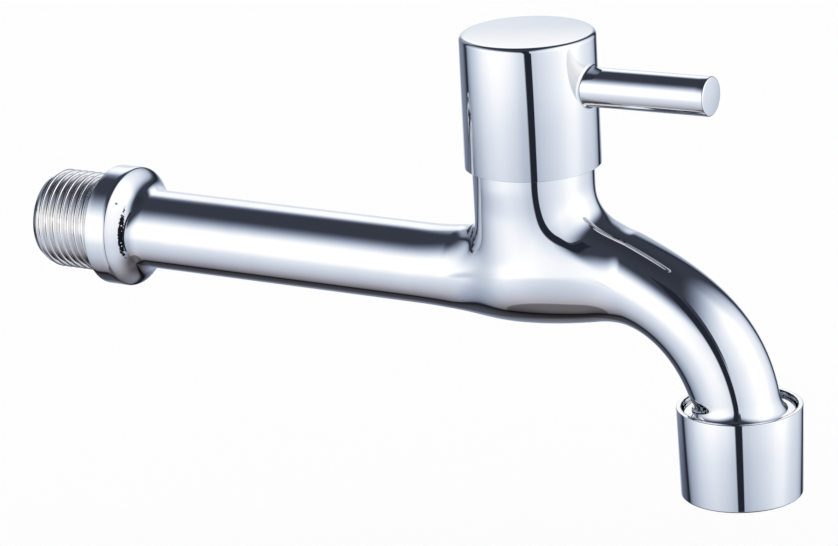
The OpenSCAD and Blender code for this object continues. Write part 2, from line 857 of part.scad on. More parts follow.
module outlet_collar() {
    rim_r = collar_d / 2;
    low_r = rim_r - collar_taper / 2;
    color(chrome) at_outlet(0) rotate_extrude() polygon([
        [collar_mouth_d / 2, collar_low_z],
        [low_r - collar_edge, collar_low_z],
        [low_r, collar_low_z + collar_edge],
        [rim_r, collar_top_z - collar_edge / 2],
        [rim_r - collar_edge / 2, collar_top_z],
        [collar_recess_r, collar_top_z],
        [collar_recess_r, collar_recess_low_z],
        [collar_bore_r, collar_recess_low_z],
        [collar_bore_r, cage_flange_low_z - face_gap],
        [collar_mouth_d / 2, cage_flange_low_z - face_gap]
    ]);
}

module aerator_washer() {
    color(rubber) at_outlet(washer_low_z) ring(washer_r, insert_r - washer_lap, washer_t);
}

module aerator_cage() {
    color(plastic) at_outlet(0) rotate_extrude() polygon([
        [cage_bore_r - cage_lip_w, cage_low_z],
        [cage_r, cage_low_z],
        [cage_r, cage_flange_low_z],
        [cage_flange_r, cage_flange_low_z],
        [cage_flange_r, washer_low_z - face_gap],
        [cage_bore_r, washer_low_z - face_gap],
        [cage_bore_r, cage_low_z + cage_lip_h],
        [cage_bore_r - cage_lip_w, cage_low_z + cage_lip_h]
    ]);
}

// Round plate with square holes
module screen_plate(r, t, pitch, wire) {
    reach = floor(r / pitch);
    linear_extrude(t) difference() {
        circle(r = r);
        for (i = [-reach:reach])
            for (j = [-reach:reach])
                if (norm([i, j]) * pitch < r - pitch)
                    translate([i * pitch, j * pitch]) square(pitch - wire, center = true);
    }
}

module aerator_inlet_screen() {
    color(steel) at_outlet(screen_low_z) screen_plate(insert_r, screen_t, screen_pitch, screen_wire);
}

module hole_circle(count, r) {
    for (i = [0:count - 1])
        rotate(i * 360 / count) translate([r, 0, -overlap])
            cylinder(r = diffuser_hole_r, h = diffuser_t + 2 * overlap);
}

module aerator_diffuser() {
    floor_r = insert_r - diffuser_wall;
    color(plastic) at_outlet(diffuser_low_z) difference() {
        union() {
            cylinder(r = insert_r, h = diffuser_t);
            ring(insert_r, floor_r, diffuser_rim_h);
        }
        hole_circle(diffuser_holes_outer, floor_r * 3 / 4);
        hole_circle(diffuser_holes_inner, floor_r * 2 / 5);
    }
}

module aerator_fine_mesh() {
    color(steel) at_outlet(mesh_low_z) screen_plate(insert_r, mesh_t, mesh_pitch, mesh_wire);
}

module aerator_outlet_grid() {
    row_h = grid_cell * cos(30);
    reach = ceil(insert_r / grid_cell);
    color(plastic) at_outlet(grid_low_z) difference() {
        cylinder(r = insert_r, h = grid_t);
        for (row = [-reach:reach])
            for (i = [-reach:reach])
                let (x = (i + abs(row % 2) / 2) * grid_cell, y = row * row_h)
                if (norm([x, y]) < insert_r - grid_cell * 3 / 4)
                    translate([x, y, -overlap]) rotate(30)
                        cylinder(d = (grid_cell - grid_wall) / cos(30), h = grid_t + 2 * overlap, $fn = 6);
    }
}

body();
handle();
handle_screw();
headwork_housing();
headwork_o_ring();
spindle();
spindle_o_ring_upper();
spindle_o_ring_lower();
thrust_washer();
retaining_clip();
stop_ring();
moving_disc();
fixed_disc();
seat_seal();
seal_backing_ring();
outlet_collar();
aerator_washer();
aerator_cage();
aerator_inlet_screen();
aerator_diffuser();
aerator_fine_mesh();
aerator_outlet_grid();
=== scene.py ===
import json
import math

import bmesh
import bpy
import numpy as np
from mathutils import Matrix, Vector


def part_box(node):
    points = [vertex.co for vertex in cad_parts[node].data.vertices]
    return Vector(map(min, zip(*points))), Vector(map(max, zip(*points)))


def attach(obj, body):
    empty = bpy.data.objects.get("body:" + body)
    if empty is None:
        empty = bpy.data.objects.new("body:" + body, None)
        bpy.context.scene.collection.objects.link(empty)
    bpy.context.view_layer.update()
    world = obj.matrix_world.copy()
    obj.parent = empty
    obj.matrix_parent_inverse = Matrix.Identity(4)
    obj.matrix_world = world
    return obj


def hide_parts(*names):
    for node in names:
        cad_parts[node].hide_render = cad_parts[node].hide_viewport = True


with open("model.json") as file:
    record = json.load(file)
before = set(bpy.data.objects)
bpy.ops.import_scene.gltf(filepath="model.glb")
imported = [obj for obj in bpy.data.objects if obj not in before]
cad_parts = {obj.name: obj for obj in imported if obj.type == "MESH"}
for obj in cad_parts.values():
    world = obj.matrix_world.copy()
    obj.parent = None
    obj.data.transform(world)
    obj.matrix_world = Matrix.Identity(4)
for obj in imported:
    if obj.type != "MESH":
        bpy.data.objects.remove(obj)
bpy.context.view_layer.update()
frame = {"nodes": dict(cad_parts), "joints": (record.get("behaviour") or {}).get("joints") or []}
print("frame loaded")

mm = 0.001
nearAxis = 0.001  # a ring this small closes a disc at its middle
weldGap = 1e-7  # metres, as are the next two
spinWeldGap = 2e-7
samePlace = 1e-6
stemX = frame["joints"][0]["pos_m"][0] / mm  # the lever's axis
outletX = frame["joints"][2]["pos_m"][0] / mm  # the collar's axis
bodyLow, bodyHigh = ([round(v / mm, 3) for v in corner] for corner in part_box("body"))
capLow, capHigh = ([round(v / mm, 3) for v in corner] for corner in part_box("handle"))
collarLow, collarHigh = ([round(v / mm, 3) for v in corner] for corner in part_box("outlet_collar"))


# Mesh helpers. Every length below is in millimetres until the mesh is made.

def pick(*objects):
    bpy.ops.object.select_all(action="DESELECT")
    for obj in objects:
        obj.select_set(True)
    bpy.context.view_layer.objects.active = objects[0]


def startEdit(obj):
    pick(obj)
    bpy.ops.object.mode_set(mode="EDIT")


def endEdit():
    bpy.ops.object.mode_set(mode="OBJECT")


def smoothShade(obj, angle=40):
    pick(obj)
    bpy.ops.object.shade_smooth_by_angle(angle=math.radians(angle))


def stepsTo(count):
    return np.linspace(0, 1, count + 1)[1:]


def bandFaces(first, second):
    # Quads between two rings of point numbers
    count = len(first)
    return [(first[k], first[(k + 1) % count], second[(k + 1) % count], second[k]) for k in range(count)]


def closeMesh(obj, gap):
    # Welds what touches, turns the faces outward and leaves edit mode
    bpy.ops.mesh.select_all(action="SELECT")
    bpy.ops.mesh.remove_doubles(threshold=gap)
    bpy.ops.mesh.normals_make_consistent(inside=False)
    endEdit()
    smoothShade(obj)
    return obj


def meshFromFaces(name, points, faces):
    mesh = bpy.data.meshes.new(name)
    mesh.from_pydata([tuple(p * mm) for p in points], [], faces)
    obj = bpy.data.objects.new(name, mesh)
    bpy.context.scene.collection.objects.link(obj)
    startEdit(obj)
    return closeMesh(obj, weldGap)


def turnedPiece(name, outline, centre, axis, steps=256, rounds=()):
    # The outline is (radius, height) pairs, drawn as an extruded line and spun round the axis
    axis = Vector(axis).normalized()
    side = axis.orthogonal().normalized()
    spots = [(Vector(centre) + side * r + axis * h) * mm for r, h in outline]
    bpy.ops.object.select_all(action="DESELECT")
    bpy.ops.mesh.primitive_plane_add(size=mm, location=spots[0])
    obj = bpy.context.active_object
    obj.name = name
    obj.data.name = name
    bpy.ops.object.mode_set(mode="EDIT")
    bpy.ops.mesh.merge(type="CENTER")
    for before, after in zip(spots, spots[1:]):
        bpy.ops.mesh.extrude_region_move(TRANSFORM_OT_translate={"value": after - before})
    endEdit()
    obj.data.transform(obj.matrix_world)
    obj.matrix_world = Matrix.Identity(4)
    for index, radius, segments in rounds:
        startEdit(obj)
        bpy.ops.mesh.select_all(action="DESELECT")
        mesh = bmesh.from_edit_mesh(obj.data)
        for v in mesh.verts:
            v.select_set((v.co - spots[index]).length < samePlace)
        mesh.select_flush(True)
        bmesh.update_edit_mesh(obj.data)
        bpy.ops.mesh.bevel(offset=radius * mm, offset_type="OFFSET", segments=segments, affect="VERTICES")
        endEdit()
    startEdit(obj)
    bpy.ops.mesh.select_all(action="SELECT")
    bpy.ops.mesh.spin(
        steps=steps, angle=math.tau, center=Vector(centre) * mm, axis=axis, use_auto_merge=True
    )
    return closeMesh(obj, spinWeldGap)


# Casting

casting = {
    "around": 192, "backSteps": 80, "frontSteps": 104,
    "flangeR": 12.7, "flangeRim": 5.0, "rimLoops": (1.2, 4.0), "rimRound": 0.3, "creaseRound": 0.12,
    "shoulderL": 5.8, "rimFall": 45.0, "rimPull": 0.35, "tubePull": 0.58, "shoulderFrom": 0.03,
    "shoulderSteps": 30, "tubeSteps": 12, "tubeR": 8.3, "swellL": 26.8,
    "bossR": 12.25, "bossTop": bodyHigh[2], "bossEdge": 0.2, "chamberR": 10.9, "chamberLow": 8.0,
    "bellyDepth": 9.2, "bellyAt": 0.59, "bellyProud": 0.02, "swellBack": 15.0, "swellFront": 22.0,
    "filletBack": 3.5, "filletFront": 4.3, "filletFrom": -0.15, "filletTo": 0.45,
    "spoutEndR": 8.55, "rootZ": 15.3, "rootFall": 20.0, "saddleDepth": 7.3, "saddleRise": 10.7,
    "saddleAhead": 2.45,
    # Lengths that the rails' ends pull their curves by: along the tube, about the boss, above the outlet
    "topTubePull": 22.0, "rootPullBack": 9.0, "rootPullAhead": 24.2, "topEndPull": 26.0, "evenTurn": 0.7,
    "lowTubePull": 12.8, "saddlePullAhead": 15.4, "lowEndPull": 6.3,
    "ledgeZ": -25.0, "ledgeIn": 0.8, "outletR": 11.0, "outletTuck": 0.1, "tuckDrop": 0.5, "skinPast": 2.0,
    "shoulderStep": 0.1, "shoulderH": 2.9, "lipRound": 0.15,
    "flareH": 3.3, "flareOut": 0.95, "flareLean": 50.0, "flarePull": 1.3, "flareSearch": (1.6, 2.0),
    "flareSteps": 24, "skinEnd": 1.72, "footSteps": 8,
    "inletBoreR": 6.0, "inletBoreStop": 11.3, "outletBoreR": 5.2, "outletBoreTop": -17.5,
    # The window in the skin round the boss, as rings of the skin, and the smoothing of what fills it
    "windowBack": 12, "windowFront": 30, "windowMiddle": 0.6, "rayRows": 61,
    "blendRows": 90, "blendRounds": 300, "blend": 1.3, "blendFront": 2.6, "blendEdge": 3.0,
    "blendSide": 0.2, "blendMost": 0.9, "bothMost": 0.95,
    "frontFrom": (30, 52), "frontTo": (78, 96), "blendTop": (19, 22.5), "sideTop": (15, 21),
}
c = casting
tubeEndX = stemX - c["swellL"]
rootX = stemX + c["bossR"]
saddleX = rootX + c["saddleAhead"]
skinEndZ = c["ledgeZ"] - c["skinPast"]
fall = math.radians(c["rootFall"])
rise = math.radians(c["saddleRise"])


def cubic(t, p0, p1, p2, p3):
    t = np.asarray(t)[..., None]
    p0, p1, p2, p3 = (np.array(p, float) for p in (p0, p1, p2, p3))
    return (1 - t) ** 3 * p0 + 3 * t * (1 - t) ** 2 * p1 + 3 * t * t * (1 - t) * p2 + t**3 * p3


def bellyPull():
    # The pull at the saddle that takes the low rail down to the belly's depth
    at = c["bellyAt"]
    tubeShare = (1 - at) ** 3 + 3 * at * (1 - at) ** 2
    handleZ = (tubeShare * c["tubeR"] + at**3 * c["saddleDepth"] - c["bellyDepth"]) / (3 * at * at * (1 - at))
    return (-c["saddleDepth"] - handleZ) / math.sin(rise)


def topRail(s):
    root = np.array([rootX, c["rootZ"]])
    slope = np.array([math.cos(fall), -math.sin(fall)])
    back, ahead = c["rootPullBack"] * slope, c["rootPullAhead"] * slope
    tubePoint = (tubeEndX + c["topTubePull"], c["tubeR"])
    first = cubic(np.clip(s, 0, 1), (tubeEndX, c["tubeR"]), tubePoint, root - back, root)
    t = np.clip(s - 1, 0, 1)
    t = t - c["evenTurn"] * t * (1 - t) ** 4  # keeps the sections turning evenly past the boss
    endX = outletX + c["spoutEndR"]
    second = cubic(t, root, root + ahead, (endX, skinEndZ + c["topEndPull"]), (endX, skinEndZ))
    return np.where(np.asarray(s)[..., None] <= 1, first, second)


def lowRail(s):
    saddle = np.array([saddleX, -c["saddleDepth"]])
    slope = np.array([math.cos(rise), math.sin(rise)])
    back, ahead = bellyPull() * slope, c["saddlePullAhead"] * slope
    tubePoint = (tubeEndX + c["lowTubePull"], -c["tubeR"])
    first = cubic(np.clip(s, 0, 1), (tubeEndX, -c["tubeR"]), tubePoint, saddle - back, saddle)
    endX = outletX - c["spoutEndR"]
    endPoint = (endX, skinEndZ + c["lowEndPull"])
    second = cubic(np.clip(s - 1, 0, 1), saddle, saddle + ahead, endPoint, (endX, skinEndZ))
    return np.where(np.asarray(s)[..., None] <= 1, first, second)


def smoothStep(low, high, value):
    t = np.clip((value - low) / (high - low), 0, 1)
    return t * t * (3 - 2 * t)


def halveBetween(low, high, staysLow, rounds=40):
    # Closes in, for each entry, on where staysLow turns from true to false
    for _ in range(rounds):
        mid = (low + high) / 2
        isLow = staysLow(mid)
        low, high = np.where(isLow, mid, low), np.where(isLow, high, mid)
    return low, high


def skinPoint(s, angle):
    s, angle = np.broadcast_arrays(np.asarray(s, float), np.asarray(angle, float))
    top, low = topRail(s), lowRail(s)
    centre, half = (top + low) / 2, (top - low) / 2
    base = c["tubeR"] + (c["spoutEndR"] - c["tubeR"]) * np.clip(s - 1, 0, 1)
    dx = centre[..., 0] - stemX
    away = np.where(dx < 0, -dx / c["swellBack"], dx / c["swellFront"])
    swell = 0.5 * (1 + np.cos(np.pi * np.minimum(1, away)))
    width = base + (c["bossR"] + c["bellyProud"] - base) * swell
    x = centre[..., 0] + half[..., 0] * np.sin(angle)
    z = centre[..., 1] + half[..., 1] * np.sin(angle)
    y = width * np.cos(angle)
    rho = np.maximum(np.hypot(x - stemX, y), 0.001)
    turn = (x - stemX) / rho
    w = c["filletBack"] + (c["filletFront"] - c["filletBack"]) * ((turn + 1) / 2) ** 2
    u = np.clip((rho - c["bossR"]) / w, 0, 1)
    lift = w * (1 - np.sqrt(np.maximum(2 * u - u * u, 0)))
    lift = lift * smoothStep(c["filletFrom"], c["filletTo"], np.sin(angle))
    return np.stack([x, y, z + lift], -1)


def ringAlongX(x, r, angles):
    return np.stack([np.full_like(angles, x), r * np.cos(angles), r * np.sin(angles)], -1)


def ringAlongZ(centreX, z, r, angles):
    return np.stack([centreX + r * np.sin(angles), r * np.cos(angles), np.full_like(angles, z)], -1)


def flangeOutline():
    back, crease = c["rimRound"], c["creaseRound"]
    points = [(0, c["inletBoreR"]), (0, c["flangeR"] - back)]
    for a in math.pi / 2 * stepsTo(4):
        points.append((back * (1 - math.cos(a)), c["flangeR"] - back + back * math.sin(a)))
    points += [(x, c["flangeR"]) for x in (*c["rimLoops"], c["flangeRim"] - crease)]
    lean = math.radians(c["rimFall"])
    start = np.array([c["flangeRim"], c["flangeR"]])
    foot = np.array([c["flangeRim"] + c["shoulderL"], c["tubeR"]])
    first = start + c["rimPull"] * c["shoulderL"] * np.array([math.cos(lean), -math.sin(lean)])
    second = foot - np.array([c["tubePull"] * c["shoulderL"], 0])
    shares = np.linspace(c["shoulderFrom"], 1, c["shoulderSteps"])
    points += [tuple(p) for p in cubic(shares, start, first, second, foot)]
    points += [(x, c["tubeR"]) for x in np.linspace(foot[0], tubeEndX, c["tubeSteps"])[1:-1]]
    return points


def flareRings(angles):
    # The foot of the spout starts where each line of the skin comes down to its height
    top = c["ledgeZ"] + c["shoulderH"] + c["flareH"]
    low, high = (np.full(len(angles), s) for s in c["flareSearch"])
    low, high = halveBetween(low, high, lambda s: skinPoint(s, angles)[:, 2] >= top)
    start = skinPoint(low, angles)
    along = start - skinPoint(low - 0.01, angles)
    along /= np.linalg.norm(along, axis=1, keepdims=True)
    out = np.stack([np.sin(angles), np.cos(angles), 0 * angles], -1)
    lean = math.radians(c["flareLean"])
    shoulderR = c["outletR"] + c["shoulderStep"]
    shoulderZ = c["ledgeZ"] + c["shoulderH"]
    end = np.array([outletX, 0, shoulderZ]) + out * (c["spoutEndR"] + c["flareOut"])
    slope = out * math.sin(lean) - np.array([0, 0, math.cos(lean)])
    pull = c["flarePull"]
    rings = [
        cubic(t, start, start + along * pull, end - slope * pull, end) for t in stepsTo(c["flareSteps"])
    ]
    lip = c["lipRound"]
    lipMiddle = 0.3 * lip  # how far the lip's round stands in from its corner
    neckR, neckZ = c["outletR"] - c["outletTuck"], c["ledgeZ"] - c["tuckDrop"]
    for r, z in (
        (shoulderR - c["ledgeIn"], shoulderZ), (shoulderR - lip, shoulderZ),
        (shoulderR - lipMiddle, shoulderZ - lipMiddle), (shoulderR, shoulderZ - lip),
        (shoulderR, c["ledgeZ"]), (neckR, c["ledgeZ"]), (neckR, neckZ), (c["outletBoreR"], neckZ),
        (c["outletBoreR"], c["outletBoreTop"]), (nearAxis, c["outletBoreTop"]),
    ):
        rings.append(ringAlongZ(outletX, z, r, angles))
    return low, rings


def bossRays(edgeS, edgeA):
    # From the window's edge each ray runs over the skin to the boss, then up its wall, and is smoothed
    centreS, centreA = c["windowMiddle"], math.pi / 2

    def onRay(t):
        return centreS + (edgeS - centreS) * t, centreA + (edgeA - centreA) * t

    def insideBoss(t):
        p = skinPoint(*onRay(t))
        return np.hypot(p[:, 0] - stemX, p[:, 1]) < c["bossR"]

    low, high = halveBetween(np.zeros(len(edgeS)), np.ones(len(edgeS)), insideBoss)
    rows = [skinPoint(*onRay(high + (1 - high) * u * u)) for u in np.linspace(1, 0, c["rayRows"])]
    foot = rows[-1]
    flat = foot - np.array([stemX, 0, 0])
    flat[:, 2] = 0
    flat /= np.linalg.norm(flat, axis=1, keepdims=True)
    for t in np.linspace(0, 1, c["rayRows"])[1:]:
        row = np.array([stemX, 0, 0]) + flat * c["bossR"]
        row[:, 2] = foot[:, 2] + (c["bossTop"] - c["bossEdge"] - foot[:, 2]) * t
        rows.append(row)
    rows = np.array(rows)
    length = np.concatenate([
        np.zeros((1, len(edgeS))), np.cumsum(np.linalg.norm(np.diff(rows, axis=0), axis=2), axis=0)
    ])
    count, rounds = c["blendRows"], c["blendRounds"]
    even = np.empty((count, len(edgeS), 3))
    for n in range(len(edgeS)):
        at = np.linspace(0, length[-1, n], count)
        for k in range(3):
            even[:, n, k] = np.interp(at, length[:, n], rows[:, n, k])
    gap = length[-1] / (count - 1)
    share = np.linspace(0, 1, count)[:, None] * length[-1]
    facing = np.degrees(np.arctan2(np.abs(flat[:, 1]), flat[:, 0]))
    wide = smoothStep(*c["frontFrom"], facing) * (1 - smoothStep(*c["frontTo"], facing))
    blend = c["blend"] + (c["blendFront"] - c["blend"]) * wide
    pastEdge = smoothStep(0, c["blendEdge"], share)
    weight = np.minimum(blend ** 2 / (rounds * gap**2), c["blendMost"]) * pastEdge
    weight = weight * (1 - smoothStep(*c["blendTop"], even[:, :, 2]))
    side = c["blendSide"] * pastEdge * (1 - smoothStep(*c["sideTop"], even[:, :, 2]))
    weight = np.minimum(weight, c["bothMost"] - side)[1:-1, :, None]  # more than 1 in all would not settle
    side = side[1:-1, :, None]
    for _ in range(rounds):
        across = (np.roll(even, 1, axis=1) + np.roll(even, -1, axis=1))[1:-1] / 2
        along = (even[:-2] + even[2:]) / 2
        even[1:-1] += weight * (along - even[1:-1]) + side * (across - even[1:-1])
    return even, flat


def buildCasting():
    around = c["around"]
    angles = np.arange(around) * math.tau / around
    boreStop = stemX - c["inletBoreStop"]
    rings = [ringAlongX(boreStop, r, angles) for r in (nearAxis, c["inletBoreR"])]
    rings += [ringAlongX(x, r, angles) for x, r in flangeOutline()]
    firstSkin = len(rings)
    backPart = np.linspace(0, 1, c["backSteps"] + 1)
    sValues = np.concatenate([backPart, np.linspace(1, c["skinEnd"], c["frontSteps"] + 1)[1:]])
    rings += [skinPoint(s, angles) for s in sValues]
    sEnd, flare = flareRings(angles)
    for t in stepsTo(c["footSteps"]):
        rings.append(skinPoint(c["skinEnd"] + (sEnd - c["skinEnd"]) * t, angles))
    rings += flare

    # Boss: a window is left in the upper side, and rays lead from its edge to the boss's top
    first, last = firstSkin + c["windowBack"], firstSkin + c["backSteps"] + c["windowFront"]
    half = around // 2
    points = list(np.concatenate(rings))
    numbers = np.arange(len(points)).reshape(-1, around).tolist()
    faces = []
    for i in range(len(rings) - 1):
        band = bandFaces(numbers[i], numbers[i + 1])
        faces += band[half:] if first <= i < last else band
    loop = [(first, k) for k in range(half)] + [(i, half) for i in range(first, last)]
    loop += [(last, k) for k in range(half, 0, -1)] + [(i, 0) for i in range(last, first, -1)]
    rays, flat = bossRays(
        np.array([sValues[i - firstSkin] for i, k in loop]), np.array([angles[k] for i, k in loop])
    )
    wallRings = list(rays[1:])
    for r, z in (
        (c["bossR"] - c["bossEdge"], c["bossTop"]), (c["chamberR"], c["bossTop"]),
        (c["chamberR"], c["chamberLow"]), (nearAxis, c["chamberLow"]),
    ):
        wallRings.append(np.array([stemX, 0, z]) + flat * r)
    previous = [numbers[i][k] for i, k in loop]
    for ring in wallRings:
        current = list(range(len(points), len(points) + len(loop)))
        points += list(ring)
        faces += bandFaces(previous, current)
        previous = current
    used = sorted({v for face in faces for v in face})
    order = {v: n for n, v in enumerate(used)}
    faces = [tuple(order[v] for v in face) for face in faces]
    return meshFromFaces("castBody", np.array(points)[used], faces)


castBody = buildCasting()
print("casting made")


# Threads

threadShape = {"around": 144, "root": 0.2, "bow": 0.08, "tipIn": 0.15, "coneOver": 0.05}
inletThread = {
    **threadShape, "r": 10.4775, "pitch": 1.814, "depth": 1.16, "length": -bodyLow[0], "chamfer": 2.4,
    "boreR": c["inletBoreR"], "perTurn": 16, "crest": 0.18, "sink": 0.02,
}
outletThread = {
    **threadShape, "r": c["outletR"], "pitch": 1.0, "depth": 0.6, "length": 7.7, "chamfer": 0.6,
    "boreR": c["outletBoreR"], "perTurn": 10, "crest": 0.14,
}


def threadRadius(d, share):
    # Share 0 is the middle of a crest and 0.5 the middle of a groove
    fromCrest = np.abs((share + 0.5) % 1 - 0.5) * 2
    slope = np.clip((fromCrest - d["crest"]) / (1 - d["crest"] - d["root"]), 0, 1)
    return d["r"] - d["depth"] * (slope - d["bow"] * np.sin(slope * math.tau))


def buildThread(name, d, place):
    # A helix is drawn by rows that climb one pitch a turn, cut flat at both ends
    around, per = d["around"], d["perTurn"]
    angles = np.arange(around) * math.tau / around
    turns = int(math.ceil(d["length"] / d["pitch"])) + 2
    rings = [ringAlongX(0, d["boreR"], angles)]
    tip = d["r"] - d["depth"] - d["tipIn"]
    for row in range(-per, turns * per):
        h = (row / per + np.arange(around) / around) * d["pitch"]
        held = np.clip(h, 0, d["length"])
        cone = tip + (d["r"] + d["coneOver"] - tip) * held / d["chamfer"]
        r = np.minimum(threadRadius(d, row / per % 1), cone)
        r = np.where((h < 0) | (h > d["length"]), np.minimum(tip, cone), r)
        rings.append(np.stack([held, r * np.cos(angles), r * np.sin(angles)], -1))
    rings.append(ringAlongX(d["length"], d["boreR"], angles))
    last = len(rings) - 1
    faces = []
    for i in range(1, last - 1):
        for k in range(around):
            j, m = (i, k + 1) if k + 1 < around else (i + per, 0)  # a turn ends one pitch further on
            if j < last - 1:
                a, b = i * around + k, j * around + m
                faces.append((a, b, b + around, a + around))
    numbers = np.arange(len(rings) * around).reshape(-1, around).tolist()
    for i, j in ((0, 1), (last - 1, last), (last, 0)):
        faces += bandFaces(numbers[i], numbers[j])
    return meshFromFaces(name, np.concatenate([place(ring) for ring in rings]), faces)


def inletPlace(ring):
    return ring + np.array([inletThread["sink"] - inletThread["length"], 0, 0])


def outletPlace(ring):
    return np.stack([outletX + ring[:, 2], ring[:, 1], bodyLow[2] + ring[:, 0]], -1)


threadIn = buildThread("inletThread", inletThread, inletPlace)
threadOut = buildThread("outletThread", outletThread, outletPlace)
print("threads made")


# Lever cap

cap = {
    "r": 13.75, "draft": 0.1, "low": capLow[2], "high": capHigh[2], "crown": 0.25,
    "crownSteps": 8, "edge": 1.0, "lowEdge": 0.12, "cavityR": 12.6, "ceiling": 46.05,
    "hubR": 7.0, "hubLow": 34.82, "splineR": 4.05, "splineTop": 41.5,
    "screwZ": 38.1, "screwHoleR": 2.05, "screwEnd": 12.05, "accessR": 2.35, "accessL": 6.0,
    "ribR": 3.2, "ribStart": 7.2, "ribEnd": 12.4,
}


def buildCap():
    d = cap
    crownR, steps = d["r"] - d["draft"], d["crownSteps"]
    obj = turnedPiece(
        "leverCap",
        [
            *[(crownR * n / steps, d["high"] - d["crown"] * (n / steps) ** 2) for n in range(steps)],
            (crownR, d["high"] - d["crown"]), (d["r"], d["low"]), (d["cavityR"], d["low"]),
            (d["cavityR"], d["ceiling"]), (d["hubR"], d["ceiling"]), (d["hubR"], d["hubLow"]),
            (d["splineR"], d["hubLow"]), (d["splineR"], d["splineTop"]), (0, d["splineTop"]),
        ],
        (stemX, 0, 0), (0, 0, 1),
        rounds=((steps, d["edge"], 8), (steps + 1, d["lowEdge"], 3)),
    )
    bpy.ops.object.select_all(action="DESELECT")
    bpy.ops.mesh.primitive_cylinder_add(
        vertices=64, radius=d["accessR"] * mm, depth=d["accessL"] * mm, rotation=(0, math.pi / 2, 0),
        location=((stemX - d["screwEnd"] - d["accessL"] / 2) * mm, 0, d["screwZ"] * mm),
    )
    cutter = bpy.context.active_object
    cut = obj.modifiers.new("screw_hole", "BOOLEAN")
    cut.object = cutter
    cut.solver = "EXACT"
    pick(obj)
    bpy.ops.object.modifier_apply(modifier="screw_hole")
    bpy.data.objects.remove(cutter)
    rib = turnedPiece(
        "screwRib",
        [
            (d["screwHoleR"], d["ribStart"]), (d["ribR"], d["ribStart"]), (d["ribR"], d["ribEnd"]),
            (d["accessR"], d["ribEnd"]), (d["accessR"], d["screwEnd"]), (d["screwHoleR"], d["screwEnd"]),
            (d["screwHoleR"], d["ribStart"]),
        ],
        (stemX, 0, d["screwZ"]), (-1, 0, 0), steps=64,
    )
    pick(obj, rib)
    bpy.ops.object.join()
    smoothShade(obj, 30)
    return obj


lever = {
    "r": 3.95, "z": 40.85, "rise": 0.9, "start": 6.6, "end": 40.3, "endEdge": 0.35, "endSteps": 4,
    "fillet": 0.75, "filletSteps": 12, "sink": 0.6, "around": 160, "rodSteps": 15,
}


def buildLever():
    d = lever
    angles = np.arange(d["around"]) * math.tau / d["around"]
    wallR = cap["r"] - cap["draft"] * (d["z"] - cap["low"]) / (cap["high"] - cap["low"])

    def ring(x, r):
        x = np.broadcast_to(x, angles.shape)
        return np.stack([stemX + x, r * np.cos(angles), d["z"] + r * np.sin(angles)], -1)

    def onWall(r):
        return np.sqrt(wallR**2 - (r * np.cos(angles)) ** 2)

    edge, wide = d["endEdge"], d["r"] + d["fillet"]
    foot = onWall(wide)
    rings = [ring(d["start"], nearAxis), ring(d["start"], d["r"])]
    rings += [ring(onWall(r) - d["sink"], r) for r in (d["r"], wide)]
    # Fillet: an arc between the cap's wall and the rod, square to the rod's axis
    for share in np.linspace(0, 1, d["filletSteps"] + 1):
        a = math.pi / 2 * share
        r = d["r"] + d["fillet"] * (1 - math.sin(a))
        lean = (onWall(r) - foot) * (1 - share)
        rings.append(ring(foot + d["fillet"] * (1 - math.cos(a)) + lean - 0.01, r))
    startX = foot + d["fillet"]
    for t in stepsTo(d["rodSteps"]):
        rings.append(ring(startX + (d["end"] - edge - startX) * t, d["r"]))
    for a in math.pi / 2 * stepsTo(d["endSteps"]):
        rings.append(ring(d["end"] - edge * (1 - math.sin(a)), d["r"] - edge * (1 - math.cos(a))))
    rings.append(ring(d["end"], nearAxis))
    tilt = math.tan(math.radians(d["rise"]))
    for points in rings:
        points[:, 2] += np.maximum(points[:, 0] - stemX - wallR, 0) * tilt  # the rod points slightly up
    numbers = np.arange(len(rings) * d["around"]).reshape(-1, d["around"]).tolist()
    faces = [face for pair in zip(numbers, numbers[1:]) for face in bandFaces(*pair)]
    return meshFromFaces("leverRod", np.concatenate(rings), faces)


capPiece = buildCap()
leverPiece = buildLever()
print("lever cap made")


# Collar

collar = {
    "r": collarHigh[1], "taper": 0.45, "high": collarHigh[2], "low": collarLow[2],
    "edge": 0.4, "rimEdge": 0.18, "innerEdge": 0.12, "recessR": 11.45, "recessLow": -25.45, "boreR": 11.05,
    "seatZ": -35.2, "mouthR": 9.6,
    "burr": 0.07, "burrEndR": 11.8, "burrLow": -21.5, "burrWaves": (19, 33, 52, 71, 97),
}


def buildCollar():
    d = collar
    lowR = d["r"] - d["taper"]
    obj = turnedPiece(
        "outletCollar",
        [
            (d["mouthR"], d["low"]), (lowR, d["low"]), (d["r"], d["high"]), (d["recessR"], d["high"]),
            (d["recessR"], d["recessLow"]), (d["boreR"], d["recessLow"]), (d["boreR"], d["seatZ"]),
            (d["mouthR"], d["seatZ"]), (d["mouthR"], d["low"]),
        ],
        (outletX, 0, 0), (0, 0, 1),
        rounds=((1, d["edge"], 4), (2, d["rimEdge"], 4), (3, d["innerEdge"], 3)),
    )
    for v in obj.data.vertices:
        x, y, z = v.co.x / mm - outletX, v.co.y / mm, v.co.z / mm
        if z > d["burrLow"] and math.hypot(x, y) < d["burrEndR"]:
            angle = math.atan2(y, x)
            rough = sum(math.sin(n * angle + n * n) for n in d["burrWaves"]) / len(d["burrWaves"])
            grow = 1 + d["burr"] * rough / d["recessR"]  # a torn edge left by the plating
            v.co.x, v.co.y = (outletX + x * grow) * mm, y * grow * mm
            v.co.z -= d["burr"] * abs(rough) * mm
    return obj


collarPiece = buildCollar()
print("collar made")


# Shader helpers

def setOrLink(tree, socket, value):
    if isinstance(value, bpy.types.NodeSocket):
        tree.links.new(value, socket)
    else:
        socket.default_value = value


